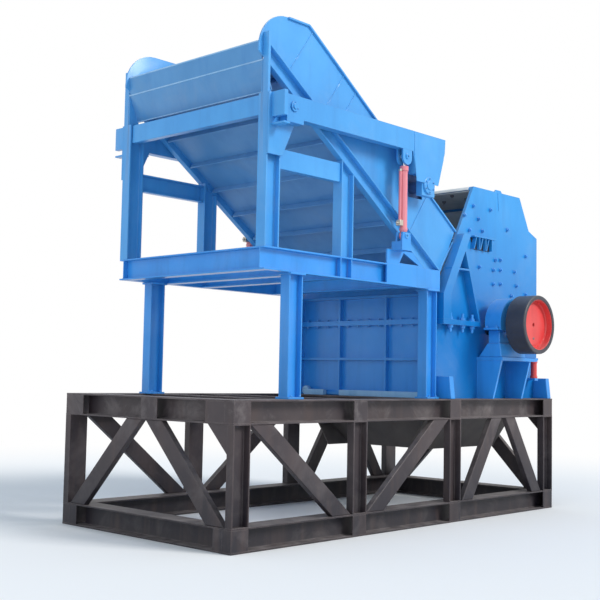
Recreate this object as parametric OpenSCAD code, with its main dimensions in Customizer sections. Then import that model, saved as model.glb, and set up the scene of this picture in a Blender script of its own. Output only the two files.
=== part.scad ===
// Scrap metal hammer mill on a steel base frame, with an inclined feed trough and press roller.
// Millimetres. X runs from the feed end to the crusher end, Y across, Z up from the floor.

/* [Base frame] */
// Length of the base frame
base_l = 5660; // [5000:10:7500]
// Width of the base frame
base_w = 2660; // [2300:10:3400]
// Height of the base frame
base_h = 1400; // [1100:10:1800]
// Depth of the ring beams
ring_d = 230; // [180:5:280]
// Flange width of the ring beams
ring_w = 250; // [160:5:270]
// Width of a base post
post_w = 220; // [160:5:260]
// Depth of a base post's flanges
post_d = 90; // [60:5:110]
// Feed end to the second post
post_2_x = 1690; // [1300:10:2000]
// Feed end to the third post
post_3_x = 3385; // [2800:10:3700]
// Depth of the diagonal braces
brace_d = 180; // [120:5:200]
// Thickness of the diagonal braces across the frame
brace_t = 70; // [50:5:90]
// Web thickness of the rolled sections
web_t = 12; // [8:1:16]
// Flange thickness of the rolled sections
flange_t = 16; // [10:1:20]

/* [Feeder frame] */
// Feed end of the base to the front of the feeder
feeder_x = 520; // [300:10:700]
// Length of the feeder platform
platform_l = 2890; // [2600:10:2900]
// Width over the feeder frame
feeder_w = 2300; // [2000:10:2320]
// Height of the platform's top above the base
platform_rise = 1490; // [1300:10:1600]
// Depth of the platform beams
platform_d = 230; // [180:5:260]
// Flange width of the platform beams
platform_w = 75; // [60:5:75]
// Flange width of the feeder's column sections
column_w = 125; // [100:5:140]
// Depth of the feeder's column sections, along the machine
column_d = 196; // [160:2:200]
// Platform front to the front legs
front_leg_x = 360; // [200:10:600]
// Platform front to the rear legs
rear_leg_x = 2640; // [2300:10:2680]
// Platform front to the middle posts
mid_post_x = 1125; // [950:5:1300]
// Thickness of the legs' end plates
end_plate_t = 20; // [12:1:30]
// Height of the side rails' top above the platform
rail_rise = 990; // [810:10:1010]
// Depth of the side rails
rail_d = 200; // [140:5:220]
// Height of the front beam's top above the platform
front_beam_rise = 1512; // [1310:1:1530]

/* [Feed trough] */
// Slope of the trough in degrees
trough_a = 35; // [33:0.5:37]
// Height of the stringers' upper end above the platform
stringer_rise = 2030; // [1960:10:2110]
// Depth of the sloping stringers
stringer_d = 180; // [140:5:200]
// Height of the trough's sides, square to the floor
cheek_h = 650; // [500:10:750]
// Thickness of the trough's plates
plate_t = 20; // [12:1:25]
// Height of the trough sides' level top above the platform
cheek_top_rise = 2370; // [2260:10:2410]
// How far the trough sides reach in front of the frame
cheek_nose = 60; // [0:5:60]
// Radius of the trough sides' top corner
cheek_r = 400; // [150:10:450]
// Width of the rim on the trough sides
rim_w = 25; // [20:5:80]
// Spacing of the ribs under the floor
floor_rib_step = 430; // [300:10:600]

/* [Press roller] */
// Height of the arm pivot above the platform
pivot_rise = 1395; // [1310:5:1460]
// Feeder front to the arm pivot
pivot_x = 245; // [240:5:300]
// Diameter of the pivot pins
pivot_pin_d = 70; // [50:2:90]
// Depth of the arms
arm_d = 230; // [180:5:250]
// Thickness of each arm
arm_t = 100; // [80:5:120]
// Gap between an arm and the feeder frame
arm_gap = 30; // [20:1:50]
// Feeder front to the roller
roller_x = 2480; // [2400:10:2520]
// Height of the roller above the platform
roller_rise = 930; // [900:10:960]
// Radius of the roller's drum
drum_r = 330; // [250:10:360]
// Height of the roller's teeth
tooth_h = 70; // [40:5:80]
// Diameter of the roller's shaft
roller_shaft_d = 140; // [100:5:160]
// Feeder front to the lift cylinders
lift_x = 2080; // [1980:5:2110]
// Height of the cylinders' lower pin above the platform
lift_pin_rise = 315; // [280:5:340]
// Height of the cylinders' upper pin above the platform
rod_pin_rise = 1205; // [1190:5:1210]
// Outer diameter of the cylinders
barrel_d = 82; // [70:2:90]

/* [Crusher] */
// Gap between the feeder platform and the crusher
crusher_gap = 20; // [20:5:190]
// Length of the crusher housing
crusher_l = 2230; // [2000:5:2230]
// Width of the crusher housing
crusher_w = 2184; // [2184:2:2300]
// Thickness of the housing's walls
wall_t = 40; // [30:1:50]
// Height of the rotor shaft and housing joint above the base
split_rise = 900; // [850:10:1000]
// Height from the joint to where the upper housing starts to slope
slope_rise = 332; // [250:2:400]
// Slope of the upper housing's front in degrees
hood_a = 61.6; // [58:0.1:66]
// Height of the hood's roof above the joint
hood_rise = 1704; // [1600:2:1800]
// Length of the hood's roof
hood_l = 1060; // [900:5:1150]
// Height of the inlet's lower edge above the joint
inlet_rise = 420; // [360:5:440]
// How far the ribs stand out
rib_out = 100; // [60:5:120]
// Thickness of the ribs
rib_t = 30; // [20:1:40]

/* [Rotor] */
// Diameter of the rotor shaft
shaft_d = 200; // [160:5:220]
// Diameter of the rotor discs
disc_d = 1200; // [1000:10:1240]
// Number of rotor discs
disc_n = 6; // [4:1:8]
// Radius swept by the hammers
hammer_r = 700; // [600:10:740]
// Diameter of the wheels
wheel_d = 705; // [650:5:780]
// Width of the wheels
wheel_w = 260; // [220:5:280]
// Centre line of the machine to the wheels' outer face
wheel_y = 1800; // [1780:5:1900]
// Diameter of the bearing covers
cover_d = 660; // [500:5:700]
// Height from the bearing shelves to the shaft
shelf_drop = 396; // [350:2:450]

/* [Hidden] */
$fn = 64;
slot_gap = 25; // clear space round a moving shaft
run_gap = 0.05; // radial clearance of a running fit
x0 = -base_l / 2;
fx = x0 + feeder_x;
platform_end = fx + platform_l;
cx = platform_end + crusher_gap;
platform_z = base_h + platform_rise;
rail_z = platform_z + rail_rise;
front_beam_z = platform_z + front_beam_rise;
stringer_z = platform_z + stringer_rise;
cheek_top_z = platform_z + cheek_top_rise;
pivot_z = platform_z + pivot_rise;
roller_z = platform_z + roller_rise;
lift_pin_z = platform_z + lift_pin_rise;
rod_pin_z = platform_z + rod_pin_rise;
split_z = base_h + split_rise;
slope_z = split_z + slope_rise;
hood_z = split_z + hood_rise;
inlet_z = split_z + inlet_rise;
shelf_z = split_z - shelf_drop;
half_feeder = feeder_w / 2;
half_crusher = crusher_w / 2;
half_base = base_w / 2;
trough_rise = tan(trough_a);
stringer_w = 75; // flange width of the stringers, and width of the front posts' upper bars
cheek_out = half_feeder - stringer_w; // outer face of the trough sides
cheek_in = cheek_out - plate_t;
arm_in = half_feeder + arm_gap;
arm_out = arm_in + arm_t;
shaft_x = cx + crusher_l / 2;
shaft_z = split_z;
hood_run = 1 / tan(hood_a);
hood_x = cx + (hood_z - slope_z) * hood_run;
roof_end = hood_x + hood_l;
back_slope_z = hood_z - 413;
back_slope_x = roof_end + 228;
rear_top_z = back_slope_z - 80;
rear_x = cx + crusher_l;
inlet_gap = 45; // trough end to the housing's front, along X
floor_h = -90; // floor's top, square below the stringers' top edge
rear_beam_x = 2420; // platform front to its last cross beam
roller_px = fx + roller_x;
arm_px = fx + pivot_x;
lift_px = fx + lift_x;
rod_d = 40;
pin_d = 50;
open_pivot_gap = 12; // play at the pivot where the lift linkage is left open

base_paint = "#3d383c";
blue_paint = "#3f8fdd";
red_paint = "#dd4a50";
tyre_black = "#30323c";
hopper_steel = "#857a72";

// Section of a rolled beam: depth along the second axis, width along the first
module beam_section(depth, width) {
    square([web_t, depth - 2 * flange_t + 1], center = true);
    for (s = [-1, 1])
        translate([0, s * (depth - flange_t) / 2])
            square([width, flange_t], center = true);
}

// Section of a channel with its web on the first axis' low side
module channel_section(depth, width) {
    translate([0, -depth / 2])
        square([web_t, depth]);
    for (z = [-depth / 2, depth / 2 - flange_t])
        translate([0, z])
            square([width, flange_t]);
}

// Extrudes a section along X, with its first axis on Y and its second on Z
module along_x(length) {
    rotate([90, 0, 90])
        linear_extrude(length)
            children();
}

// Extrudes a section along Y, with its first axis on -X and its second on Z
module along_y(length) {
    rotate([90, 0, 180])
        linear_extrude(length)
            children();
}

// Plate cut from an outline in the XZ plane, from y to y + t
module side_plate(y, t, outline) {
    translate([0, y + t, 0])
        rotate([90, 0, 0])
            linear_extrude(t)
                polygon(outline);
}

// Copies a piece to the far side
module both_sides() {
    children();
    mirror([0, 1, 0])
        children();
}

module base_long_beams() {
    color(base_paint)
        both_sides()
            for (z = [ring_d / 2, base_h - ring_d / 2])
                translate([x0, -half_base + ring_w / 2, z])
                    along_x(base_l)
                        beam_section(ring_d, ring_w);
}

module base_end_beams() {
    inner_l = base_w - 2 * ring_w;
    color(base_paint)
        for (x = [x0 + ring_w / 2, -x0 - ring_w / 2])
            for (z = [ring_d / 2, base_h - ring_d / 2])
                translate([x, -inner_l / 2, z])
                    along_y(inner_l)
                        beam_section(ring_d, ring_w);
}

cross_beam_x = [feeder_x + front_leg_x + column_d / 2, post_2_x + post_w / 2, post_3_x - 2 * post_w / 3];

module base_cross_beams() {
    inner_l = base_w - 2 * ring_w;
    color(base_paint)
        for (x = cross_beam_x)
            translate([x0 + x, -inner_l / 2, base_h - ring_d / 2])
                along_y(inner_l)
                    beam_section(ring_d, column_w);
}

post_x = [0, post_2_x, post_3_x, base_l - post_w];

// One base post, a channel that opens outward
module base_post(x) {
    translate([x0 + x + post_w / 2, -half_base + post_d, ring_d])
        rotate([0, 0, -90])
            linear_extrude(base_h - 2 * ring_d)
                channel_section(post_w, post_d);
}

module base_posts() {
    color(base_paint)
        both_sides()
            for (x = post_x)
                base_post(x);
}

// Diagonal from the low point to the high point of a bay, in the XZ plane
module diagonal(x_low, x_high, y, t) {
    low = ring_d;
    high = base_h - ring_d;
    w = brace_d / abs(sin(atan2(high - low, x_high - x_low)));
    side_plate(y, t, [[x_low - w / 2, low], [x_low + w / 2, low],
        [x_high + w / 2, high], [x_high - w / 2, high]]);
}

brace_half = brace_d * 0.85; // room for half a brace's slanting end
bay_3_mid = (post_3_x + base_l) / 2;

module base_side_braces() {
    y = -half_base + 10;
    color(base_paint)
        both_sides() {
            diagonal(x0 + post_2_x - brace_half, x0 + post_w + brace_half, y, brace_t);
            diagonal(x0 + post_2_x + post_w + brace_half, x0 + post_3_x - brace_half, y, brace_t);
            diagonal(x0 + post_3_x + post_w + brace_half, x0 + bay_3_mid - brace_half, y, brace_t);
            diagonal(x0 + base_l - post_w - brace_half, x0 + bay_3_mid + brace_half, y, brace_t);
        }
}

module base_end_braces() {
    y_low = half_base - post_d - brace_half;
    color(base_paint)
        for (x = [x0 + 10 + brace_t, -x0 - 10])
            both_sides()
                translate([x, 0, 0])
                    rotate([0, 0, 90])
                        diagonal(-y_low, -brace_half, 0, brace_t);
}

gusset_leg = 280;

// Corner plates at both ends of the near side
module base_gussets() {
    top = base_h - ring_d;
    y_in = half_base - post_d;
    color(base_paint)
        for (x = [x0 + 10, -x0 - 10 - plate_t])
            translate([x, 0, 0])
                rotate([90, 0, 90])
                    linear_extrude(plate_t)
                        polygon([[-y_in, top], [-y_in, top - gusset_leg], [-y_in + gusset_leg, top]]);
}

// Discharge hopper under the crusher
hopper_top_z = base_h;
hopper_z = hopper_top_z - 630;
hopper_y = [half_base - ring_w - 10, 640];
hopper_in = 40;
hopper_x = [[cx + hopper_in, cx + 480], [rear_x - ring_w - hopper_in, cx + 1740]];

module hopper_side_plates() {
    color(hopper_steel)
        both_sides()
            rotate([90, 0, 90])
                translate([0, 0, hopper_x[0][0] + 30])
                    linear_extrude(hopper_x[1][0] - hopper_x[0][0] - 60)
                        polygon([[-hopper_y[0], hopper_top_z], [-hopper_y[0] + plate_t, hopper_top_z],
                            [-hopper_y[1] + plate_t, hopper_z], [-hopper_y[1], hopper_z]]);
}

module hopper_end_plates() {
    y_top = hopper_y[0] - plate_t;
    y_low = hopper_y[1] - plate_t;
    color(hopper_steel)
        for (e = [0, 1])
            intersection() {
                side_plate(-y_top, 2 * y_top, [[hopper_x[e][0], hopper_top_z],
                    [hopper_x[e][0] + plate_t, hopper_top_z],
                    [hopper_x[e][1] + plate_t, hopper_z], [hopper_x[e][1], hopper_z]]);
                rotate([90, 0, 90])
                    translate([0, 0, x0])
                        linear_extrude(base_l)
                            polygon([[-y_top, hopper_top_z], [y_top, hopper_top_z],
                                [y_low, hopper_z], [-y_low, hopper_z]]);
            }
}

// One feeder leg with its foot plate and cap plate
module feeder_leg(x) {
    span = platform_z - platform_d - base_h;
    y = -half_feeder + column_w / 2;
    translate([x, y, base_h]) {
        translate([0, 0, end_plate_t])
            rotate([0, 0, 90])
                linear_extrude(span - 2 * end_plate_t)
                    beam_section(column_d, column_w);
        for (z = [end_plate_t / 2, span - end_plate_t / 2])
            translate([0, 0, z])
                cube([column_d + 24, column_w + 60, end_plate_t], center = true);
    }
}

module feeder_legs() {
    color(blue_paint)
        both_sides()
            for (x = [front_leg_x, rear_leg_x])
                feeder_leg(fx + x + column_d / 2);
}

cover_x = lift_px - 180; // where the plate over the channel's mouth starts

module platform_side_beams() {
    color(blue_paint)
        both_sides() {
            translate([fx, -half_feeder + platform_w, platform_z - platform_d / 2])
                mirror([0, 1, 0])
                    along_x(platform_l)
                        channel_section(platform_d, platform_w);
            translate([cover_x, -half_feeder, platform_z - platform_d + flange_t])
                cube([platform_end - cover_x, plate_t, platform_d - 2 * flange_t]);
        }
}

module platform_cross_beams() {
    inner_l = feeder_w - 2 * platform_w;
    color(blue_paint)
        for (x = [column_w / 2, front_leg_x + column_d + 100, mid_post_x + column_d / 2, rear_beam_x])
            translate([fx + x, -inner_l / 2, platform_z - platform_d / 2])
                along_y(inner_l)
                    beam_section(platform_d, column_w);
}

// Height of the stringers' top edge at a given x
function trough_z(x) = stringer_z - (x - fx) * trough_rise;
stringer_v = stringer_d / cos(trough_a);
post_bar_t = 30;
bracket_half = 125;
bracket_top = pivot_z + bracket_half;
weld_gap = 0.5;

// Column of the feeder frame standing on the platform
module column(x, top) {
    translate([x + column_d / 2, -half_feeder + column_w / 2, platform_z])
        rotate([0, 0, 90])
            linear_extrude(top - platform_z)
                beam_section(column_d, column_w);
}

// Each front post narrows to a bar above the arm's bracket, in front of the stringer's end
module feeder_front_posts() {
    color(blue_paint)
        both_sides() {
            column(fx, bracket_top);
            side_plate(-half_feeder, stringer_w, [[fx, bracket_top], [fx + post_bar_t, bracket_top],
                [fx + post_bar_t, post_bar_z - post_bar_t / 2], [fx, post_bar_z]]);
        }
}

// Each middle post is cut to the slope under its stringer
module feeder_mid_posts() {
    x = fx + mid_post_x;
    far_x = x + column_d + 1;
    top = trough_z(x);
    under = stringer_v + weld_gap;
    color(blue_paint)
        both_sides()
            difference() {
                column(x, top);
                side_plate(-half_feeder - 1, column_w + 2, [[x - 1, trough_z(x - 1) - under],
                    [far_x, trough_z(far_x) - under], [far_x, top + 1], [x - 1, top + 1]]);
            }
}

rail_in = 25; // rails' faces behind the posts'

module feeder_side_rails() {
    color(blue_paint)
        both_sides()
            translate([fx + column_d, -half_feeder + rail_in, rail_z - rail_d / 2])
                along_x(mid_post_x - column_d)
                    channel_section(rail_d, platform_w);
}

// Channel with its web to the front
module feeder_front_beam() {
    inner_l = feeder_w - 2 * column_w;
    x = [fx + rail_in, fx + rail_in + web_t, fx + rail_in + platform_w];
    z = [front_beam_z - rail_d, front_beam_z - rail_d + flange_t, front_beam_z - flange_t, front_beam_z];
    color(blue_paint)
        side_plate(-inner_l / 2, inner_l, [[x[0], z[0]], [x[2], z[0]], [x[2], z[1]], [x[1], z[1]],
            [x[1], z[2]], [x[2], z[2]], [x[2], z[3]], [x[0], z[3]]]);
}

panel_low_z = stringer_z - 458;
panel_low_x = fx + 120;
panel_crease_z = stringer_z - 175;
panel_top_z = stringer_z + 20;
post_bar_z = panel_top_z + 80;

module trough_end_panel() {
    color(blue_paint) {
        side_plate(-cheek_in, 2 * cheek_in, [[fx, panel_crease_z], [fx + plate_t, panel_crease_z],
            [fx - 20 + plate_t, panel_top_z], [fx - 20, panel_top_z]]);
        side_plate(-cheek_out, 2 * cheek_out, [[panel_low_x, panel_low_z],
            [panel_low_x + plate_t, panel_low_z], [fx + plate_t, panel_crease_z], [fx, panel_crease_z]]);
    }
}

// Point on the trough, s along the slope from the feeder's front and h square to it
function on_slope(s, h) = [fx + s * cos(trough_a) + h * sin(trough_a),
    stringer_z - s * sin(trough_a) + h * cos(trough_a)];

// Length of trough side at a height v over the stringers' top edge, from the front posts to the platform
module stringer_strip(y, t, low, high) {
    x = fx + post_bar_t;
    side_plate(y, t, [[x, trough_z(x) + high], [x, trough_z(x) + low],
        [fx + (stringer_z + low - platform_z) / trough_rise, platform_z],
        [fx + (stringer_z + high - platform_z) / trough_rise, platform_z]]);
}

// Channels that open outward
module trough_stringers() {
    flange_v = flange_t / cos(trough_a);
    color(blue_paint)
        both_sides() {
            stringer_strip(-cheek_out - web_t, web_t, -stringer_v, 0);
            stringer_strip(-half_feeder, stringer_w, -flange_v, 0);
            stringer_strip(-half_feeder, stringer_w, -stringer_v, flange_v - stringer_v);
        }
}

floor_start = 190; // along the slope, behind the end panel
floor_length = (platform_end - 15 - fx) / cos(trough_a);
floor_low = floor_h - plate_t;
rib_low = -stringer_d + 2;
rib_high = floor_low - weld_gap;

module trough_floor() {
    color(blue_paint)
        side_plate(-cheek_in, 2 * cheek_in, [on_slope(floor_start, floor_h),
            on_slope(floor_start, floor_low), on_slope(floor_length, floor_low),
            on_slope(floor_length, floor_h)]);
}

module trough_floor_ribs() {
    first = floor_start + 180;
    rib_n = floor((floor_length - first - 100) / floor_rib_step);
    color(blue_paint)
        for (i = [0 : rib_n])
            let (s = first + i * floor_rib_step)
                side_plate(-cheek_in, 2 * cheek_in, [on_slope(s, rib_high), on_slope(s, rib_low),
                    on_slope(s + plate_t, rib_low), on_slope(s + plate_t, rib_high)]);
}

// Trough side: level top with a round front corner, then parallel to the floor
cheek_v = cheek_h / cos(trough_a);
cheek_front = fx - cheek_nose;
cheek_bend_x = fx + (stringer_z + cheek_v - cheek_top_z) / trough_rise;
// The roller's shaft moves this far ahead as the arms rise
shaft_travel = 50;
slot_x = [roller_px - roller_shaft_d / 2 - 2 * slot_gap,
    roller_px + roller_shaft_d / 2 + shaft_travel + slot_gap];
slot_z = roller_z - roller_shaft_d / 2 - 2 * slot_gap;
function cheek_z(x) = trough_z(x) + cheek_v;
function inlet_x(z) = cx + (z - slope_z) * hood_run - inlet_gap;
// Where a line v above the stringers' top edge meets the crusher's sloping front
function meet_x(v) = (stringer_z + v + fx * trough_rise - slope_z + (cx - inlet_gap) / hood_run)
    / (trough_rise + 1 / hood_run);
cheek_low_z = platform_z + 5;

module cheek() {
    drop = (floor_low - 2) / cos(trough_a);
    front_z = stringer_z + drop + cheek_nose * trough_rise;
    corner = [for (a = [180 : -10 : 90])
        [cheek_front + cheek_r + cheek_r * cos(a), cheek_top_z - cheek_r + cheek_r * sin(a)]];
    end_x = meet_x(cheek_v);
    end_z = cheek_z(end_x);
    rim_v = plate_t / cos(trough_a);
    difference() {
        union() {
            side_plate(cheek_in, plate_t, concat([[cheek_front, front_z]], corner,
                [[cheek_bend_x, cheek_top_z], [end_x, end_z], [inlet_x(cheek_low_z), cheek_low_z],
                [fx + (stringer_z + drop - cheek_low_z) / trough_rise, cheek_low_z]]));
            side_plate(cheek_out, rim_w - 2, [[cheek_bend_x, cheek_top_z], [end_x, end_z],
                [end_x, end_z - rim_v], [cheek_bend_x, cheek_top_z - rim_v]]);
            side_plate(cheek_out, rim_w - 2, [[cheek_front + cheek_r, cheek_top_z],
                [cheek_bend_x, cheek_top_z], [cheek_bend_x, cheek_top_z - plate_t],
                [cheek_front + cheek_r, cheek_top_z - plate_t]]);
        }
        translate([slot_x[0], cheek_in - 1, slot_z])
            cube([slot_x[1] - slot_x[0], rim_w + plate_t, cheek_h]);
    }
}

module trough_cheeks() {
    color(blue_paint)
        both_sides()
            cheek();
}

block_in = 35; // the arm bracket's block and ledge, in front of the arm's end
block_t = 50;
block_out = 200;
ledge_z = pivot_z - 186;

// Bracket on the front post that carries the arm's pivot pin
module arm_pivot_bracket() {
    plate_end = arm_px + 130;
    foot_z = pivot_z - 490;
    side_plate(half_feeder, arm_gap - 5, [[fx, bracket_top], [plate_end, bracket_top],
        [plate_end, pivot_z - 120], [fx + column_d, foot_z], [fx, foot_z]]);
    translate([fx + block_in, half_feeder, pivot_z - bracket_half])
        cube([block_t, block_out, 2 * bracket_half]);
    translate([fx + block_in, half_feeder, ledge_z - plate_t])
        cube([block_t + 35, block_out, plate_t]);
}

module arm_pivot_brackets() {
    color(blue_paint)
        both_sides()
            arm_pivot_bracket();
}

module arm_pivot_pins() {
    color("silver")
        both_sides()
            translate([arm_px, arm_out + 12, pivot_z])
                rotate([90, 0, 0])
                    cylinder(d = pivot_pin_d, h = arm_out + 12 - half_feeder - arm_gap + 5);
}

eye_t = 40;
lug_in = arm_in + (arm_t - eye_t) / 2 - 5;
lug_out = lug_in + eye_t + 10;
eye_r = 50;
lug_half = 80;
eye_into = 5; // how far the rod runs into its eye
eye_y = arm_in + arm_t / 2;

// Two lugs each side of a cylinder's eye, in the XZ plane
module twin_lugs(outline) {
    for (y = [arm_in + 2, lug_out])
        side_plate(y, lug_in - arm_in - 2, outline);
}

// Pin across the machine, from one face of the lugs to the other
module cross_pin(x, z, d) {
    translate([x, arm_out - 2, z])
        rotate([90, 0, 0])
            cylinder(d = d, h = arm_t - 4);
}

// Plate with a window between the platform and the stringer, and the lower lugs on its block
module lift_brackets() {
    top = platform_z + 160;
    block_top = lift_pin_z - eye_r - 15;
    lug_top = lift_pin_z + 35;
    under = fx + (stringer_z - stringer_v - 1 - platform_z) / trough_rise;
    color(blue_paint)
        both_sides() {
            difference() {
                side_plate(half_feeder - plate_t, plate_t, [[cover_x, platform_z], [under, platform_z],
                    [under - (top - platform_z) / trough_rise, top], [cover_x, top]]);
                side_plate(half_feeder - plate_t - 1, plate_t + 2, [[lift_px + 40, platform_z + 20],
                    [lift_px + 400, platform_z + 20], [lift_px + 115, top - 20]]);
            }
            side_plate(half_feeder - plate_t, arm_out - 2 - half_feeder + plate_t,
                [[lift_px - lug_half, top - 10], [lift_px + lug_half, top - 10],
                [lift_px + lug_half, block_top], [lift_px - lug_half, block_top]]);
            twin_lugs([[lift_px - lug_half, block_top], [lift_px + lug_half, block_top],
                [lift_px + lug_half - 10, lug_top], [lift_px - lug_half + 10, lug_top]]);
            cross_pin(lift_px, lift_pin_z, pin_d);
        }
}

arm_tail = 100;
arm_end_x = fx + 2790;
arm_plate_x = [fx + 2230, fx + 2670];
arm_plate_z = pivot_z - 360;
arm_top = pivot_z + arm_d / 2;
arm_low = pivot_z - arm_d / 2;
bearing_w = 240;
bearing_t = 80;

module press_arm() {
    bearing_y = arm_in + (arm_t - bearing_t) / 2;
    difference() {
        union() {
            side_plate(arm_in, arm_t, [[arm_px - arm_tail, arm_top], [arm_end_x, arm_top],
                [arm_end_x - 10, arm_low + 70], [arm_plate_x[1], arm_plate_z],
                [arm_plate_x[0], arm_plate_z], [arm_plate_x[0] - 50, arm_low],
                [arm_px + 140, arm_low], [arm_px + 140, arm_low - 45], [arm_px - arm_tail, arm_low - 45]]);
            side_plate(bearing_y, bearing_t,
                [[roller_px - bearing_w / 2, arm_plate_z], [roller_px + bearing_w / 2, arm_plate_z],
                [roller_px + bearing_w / 2, roller_z - bearing_w / 2],
                [roller_px - bearing_w / 2, roller_z - bearing_w / 2]]);
            twin_lugs([[lift_px - lug_half, arm_low], [lift_px + lug_half, arm_low],
                [lift_px + lug_half, rod_pin_z - 15], [lift_px - lug_half, rod_pin_z - 15]]);
            for (y = [arm_in + 2, lug_out])
                translate([lift_px, y + lug_in - arm_in - 2, rod_pin_z - 15])
                    rotate([90, 0, 0])
                        cylinder(r = lug_half, h = lug_in - arm_in - 2);
            cross_pin(lift_px, rod_pin_z, pin_d);
        }
        translate([arm_px, arm_out + 1, pivot_z])
            rotate([90, 0, 0])
                cylinder(d = pivot_pin_d + 2 * run_gap, h = arm_t + 2);
        translate([roller_px, arm_out + 1, roller_z])
            rotate([90, 0, 0])
                cylinder(d = roller_shaft_d + 2 * run_gap, h = arm_t + 2);
    }
}

module press_arms() {
    color(blue_paint)
        both_sides()
            press_arm();
}

drum_half = cheek_in - 30;
tooth_n = 10;
drum_wall = 40;

module press_roller() {
    shaft_half = arm_in + (arm_t + bearing_t) / 2;
    color(blue_paint)
        translate([roller_px, 0, roller_z]) {
            rotate([90, 0, 0]) {
                difference() {
                    cylinder(r = drum_r, h = 2 * drum_half, center = true);
                    cylinder(r = drum_r - drum_wall, h = 2 * (drum_half - drum_wall), center = true);
                    for (i = [0 : 3])
                        rotate([0, 0, 90 * i])
                            translate([(drum_r + roller_shaft_d / 2) / 2, 0, 0])
                                cylinder(r = 50, h = 2 * drum_half + 2, center = true);
                }
                cylinder(d = roller_shaft_d, h = 2 * shaft_half, center = true);
            }
            for (i = [0 : tooth_n - 1])
                rotate([0, i * 360 / tooth_n, 0])
                    translate([-25, -drum_half + 20, drum_r - 15])
                        cube([50, 2 * drum_half - 40, tooth_h + 15]);
        }
}

barrel_top = rod_pin_z - 110;
rod_in = 560;

// Cylinder barrel with the eye on its lower pin
module lift_barrel() {
    difference() {
        union() {
            translate([lift_px, eye_y + eye_t / 2, lift_pin_z])
                rotate([90, 0, 0])
                    cylinder(r = eye_r, h = eye_t);
            translate([lift_px, eye_y, lift_pin_z + eye_r - 8])
                cylinder(d = barrel_d, h = barrel_top - lift_pin_z - eye_r + 8);
        }
        translate([lift_px, eye_y + eye_t / 2 + 1, lift_pin_z])
            rotate([90, 0, 0])
                cylinder(d = pin_d + 2 * run_gap, h = eye_t + 2);
        translate([lift_px, eye_y, barrel_top - rod_in])
            cylinder(d = rod_d + 2 * run_gap, h = rod_in + 1);
    }
}

module lift_barrels() {
    color(red_paint)
        both_sides()
            lift_barrel();
}

// Piston rod with the eye under the arm's lugs; the eye has play round the pin
module lift_rod(y) {
    color("silver")
        difference() {
            union() {
                translate([lift_px, y + eye_t / 2, rod_pin_z])
                    rotate([90, 0, 0])
                        cylinder(r = eye_r, h = eye_t);
                translate([lift_px, y, barrel_top - rod_in + 20])
                    cylinder(d = rod_d, h = rod_pin_z - eye_r + eye_into - barrel_top + rod_in - 20);
            }
            translate([lift_px, y + eye_t / 2 + 1, rod_pin_z])
                rotate([90, 0, 0])
                    cylinder(r = pin_d / 2 + open_pivot_gap, h = eye_t + 2);
        }
}

module lift_rod_near() {
    lift_rod(-eye_y);
}

module lift_rod_far() {
    lift_rod(eye_y);
}

side_in = half_crusher - wall_t;

// Hole for the rotor shaft through the side walls
module shaft_hole() {
    translate([shaft_x, 0, shaft_z])
        rotate([90, 0, 0])
            cylinder(d = shaft_d + 2 * slot_gap, h = 2 * base_w, center = true);
}

module crusher_lower_sides() {
    color(blue_paint)
        both_sides()
            difference() {
                side_plate(side_in, wall_t, [[cx, base_h], [rear_x, base_h],
                    [rear_x, split_z], [cx, split_z]]);
                shaft_hole();
            }
}

module crusher_upper_sides() {
    color(blue_paint)
        both_sides()
            difference() {
                side_plate(side_in, wall_t, [[cx, split_z], [rear_x, split_z], [rear_x, rear_top_z],
                    [back_slope_x, back_slope_z], [roof_end, hood_z], [hood_x, hood_z], [cx, slope_z]]);
                shaft_hole();
            }
}

front_rib_out = 60;
front_rib_y = 371; // centre line to the inner upright ribs

module crusher_front_wall() {
    color(blue_paint)
        side_plate(-side_in, 2 * side_in, [[cx, base_h], [cx + wall_t, base_h], [cx + wall_t, slope_z],
            [cx + wall_t + (inlet_z - slope_z) * hood_run, inlet_z],
            [cx + (inlet_z - slope_z) * hood_run, inlet_z], [cx, slope_z]]);
}

// Grid of ribs on a wall that faces the feed end
module wall_ribs(x, y_half, rows) {
    for (z = rows)
        translate([x, -y_half, z])
            cube([front_rib_out, 2 * y_half, rib_t]);
    for (y = [-y_half, -front_rib_y - rib_t / 2, front_rib_y - rib_t / 2, y_half - rib_t])
        translate([x, y, rows[0]])
            cube([front_rib_out, rib_t, rows[len(rows) - 1] - rows[0]]);
}

module crusher_front_ribs() {
    color(blue_paint)
        wall_ribs(cx - front_rib_out, side_in,
            [base_h + 10, base_h + 440, split_z - rib_t, split_z, slope_z - rib_t]);
}

rear_wall_x = rear_x - front_rib_out - wall_t;

module crusher_rear_wall() {
    color(blue_paint)
        side_plate(-side_in, 2 * side_in, [[rear_wall_x, base_h], [rear_wall_x + wall_t, base_h],
            [rear_wall_x + wall_t, rear_top_z - wall_t - 20], [rear_wall_x, rear_top_z - wall_t - 20]]);
}

module crusher_rear_ribs() {
    color(blue_paint)
        wall_ribs(rear_wall_x + wall_t, side_in,
            [base_h + 10, base_h + 440, split_z - rib_t, split_z, split_z + 560, rear_top_z - 80 - rib_t]);
}

module crusher_hood() {
    t = wall_t;
    color(blue_paint) {
        side_plate(-side_in, 2 * side_in, [[hood_x, hood_z], [roof_end - 2, hood_z],
            [roof_end - 2, hood_z - t], [hood_x - t * hood_run, hood_z - t]]);
        side_plate(-side_in, 2 * side_in, [[roof_end, hood_z], [back_slope_x - 1, back_slope_z + 1],
            [back_slope_x - 1 - t, back_slope_z + 1], [roof_end, hood_z - t * 1.8]]);
        side_plate(-side_in, 2 * side_in, [[back_slope_x, back_slope_z], [rear_x, rear_top_z],
            [rear_x, rear_top_z - t], [back_slope_x, back_slope_z - t]]);
    }
}

rib_top = [cx + 427, slope_z + 567];
rib_foot_x = shaft_x - 352;
rib_band = 150; // width of the front rib's outer flange

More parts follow.
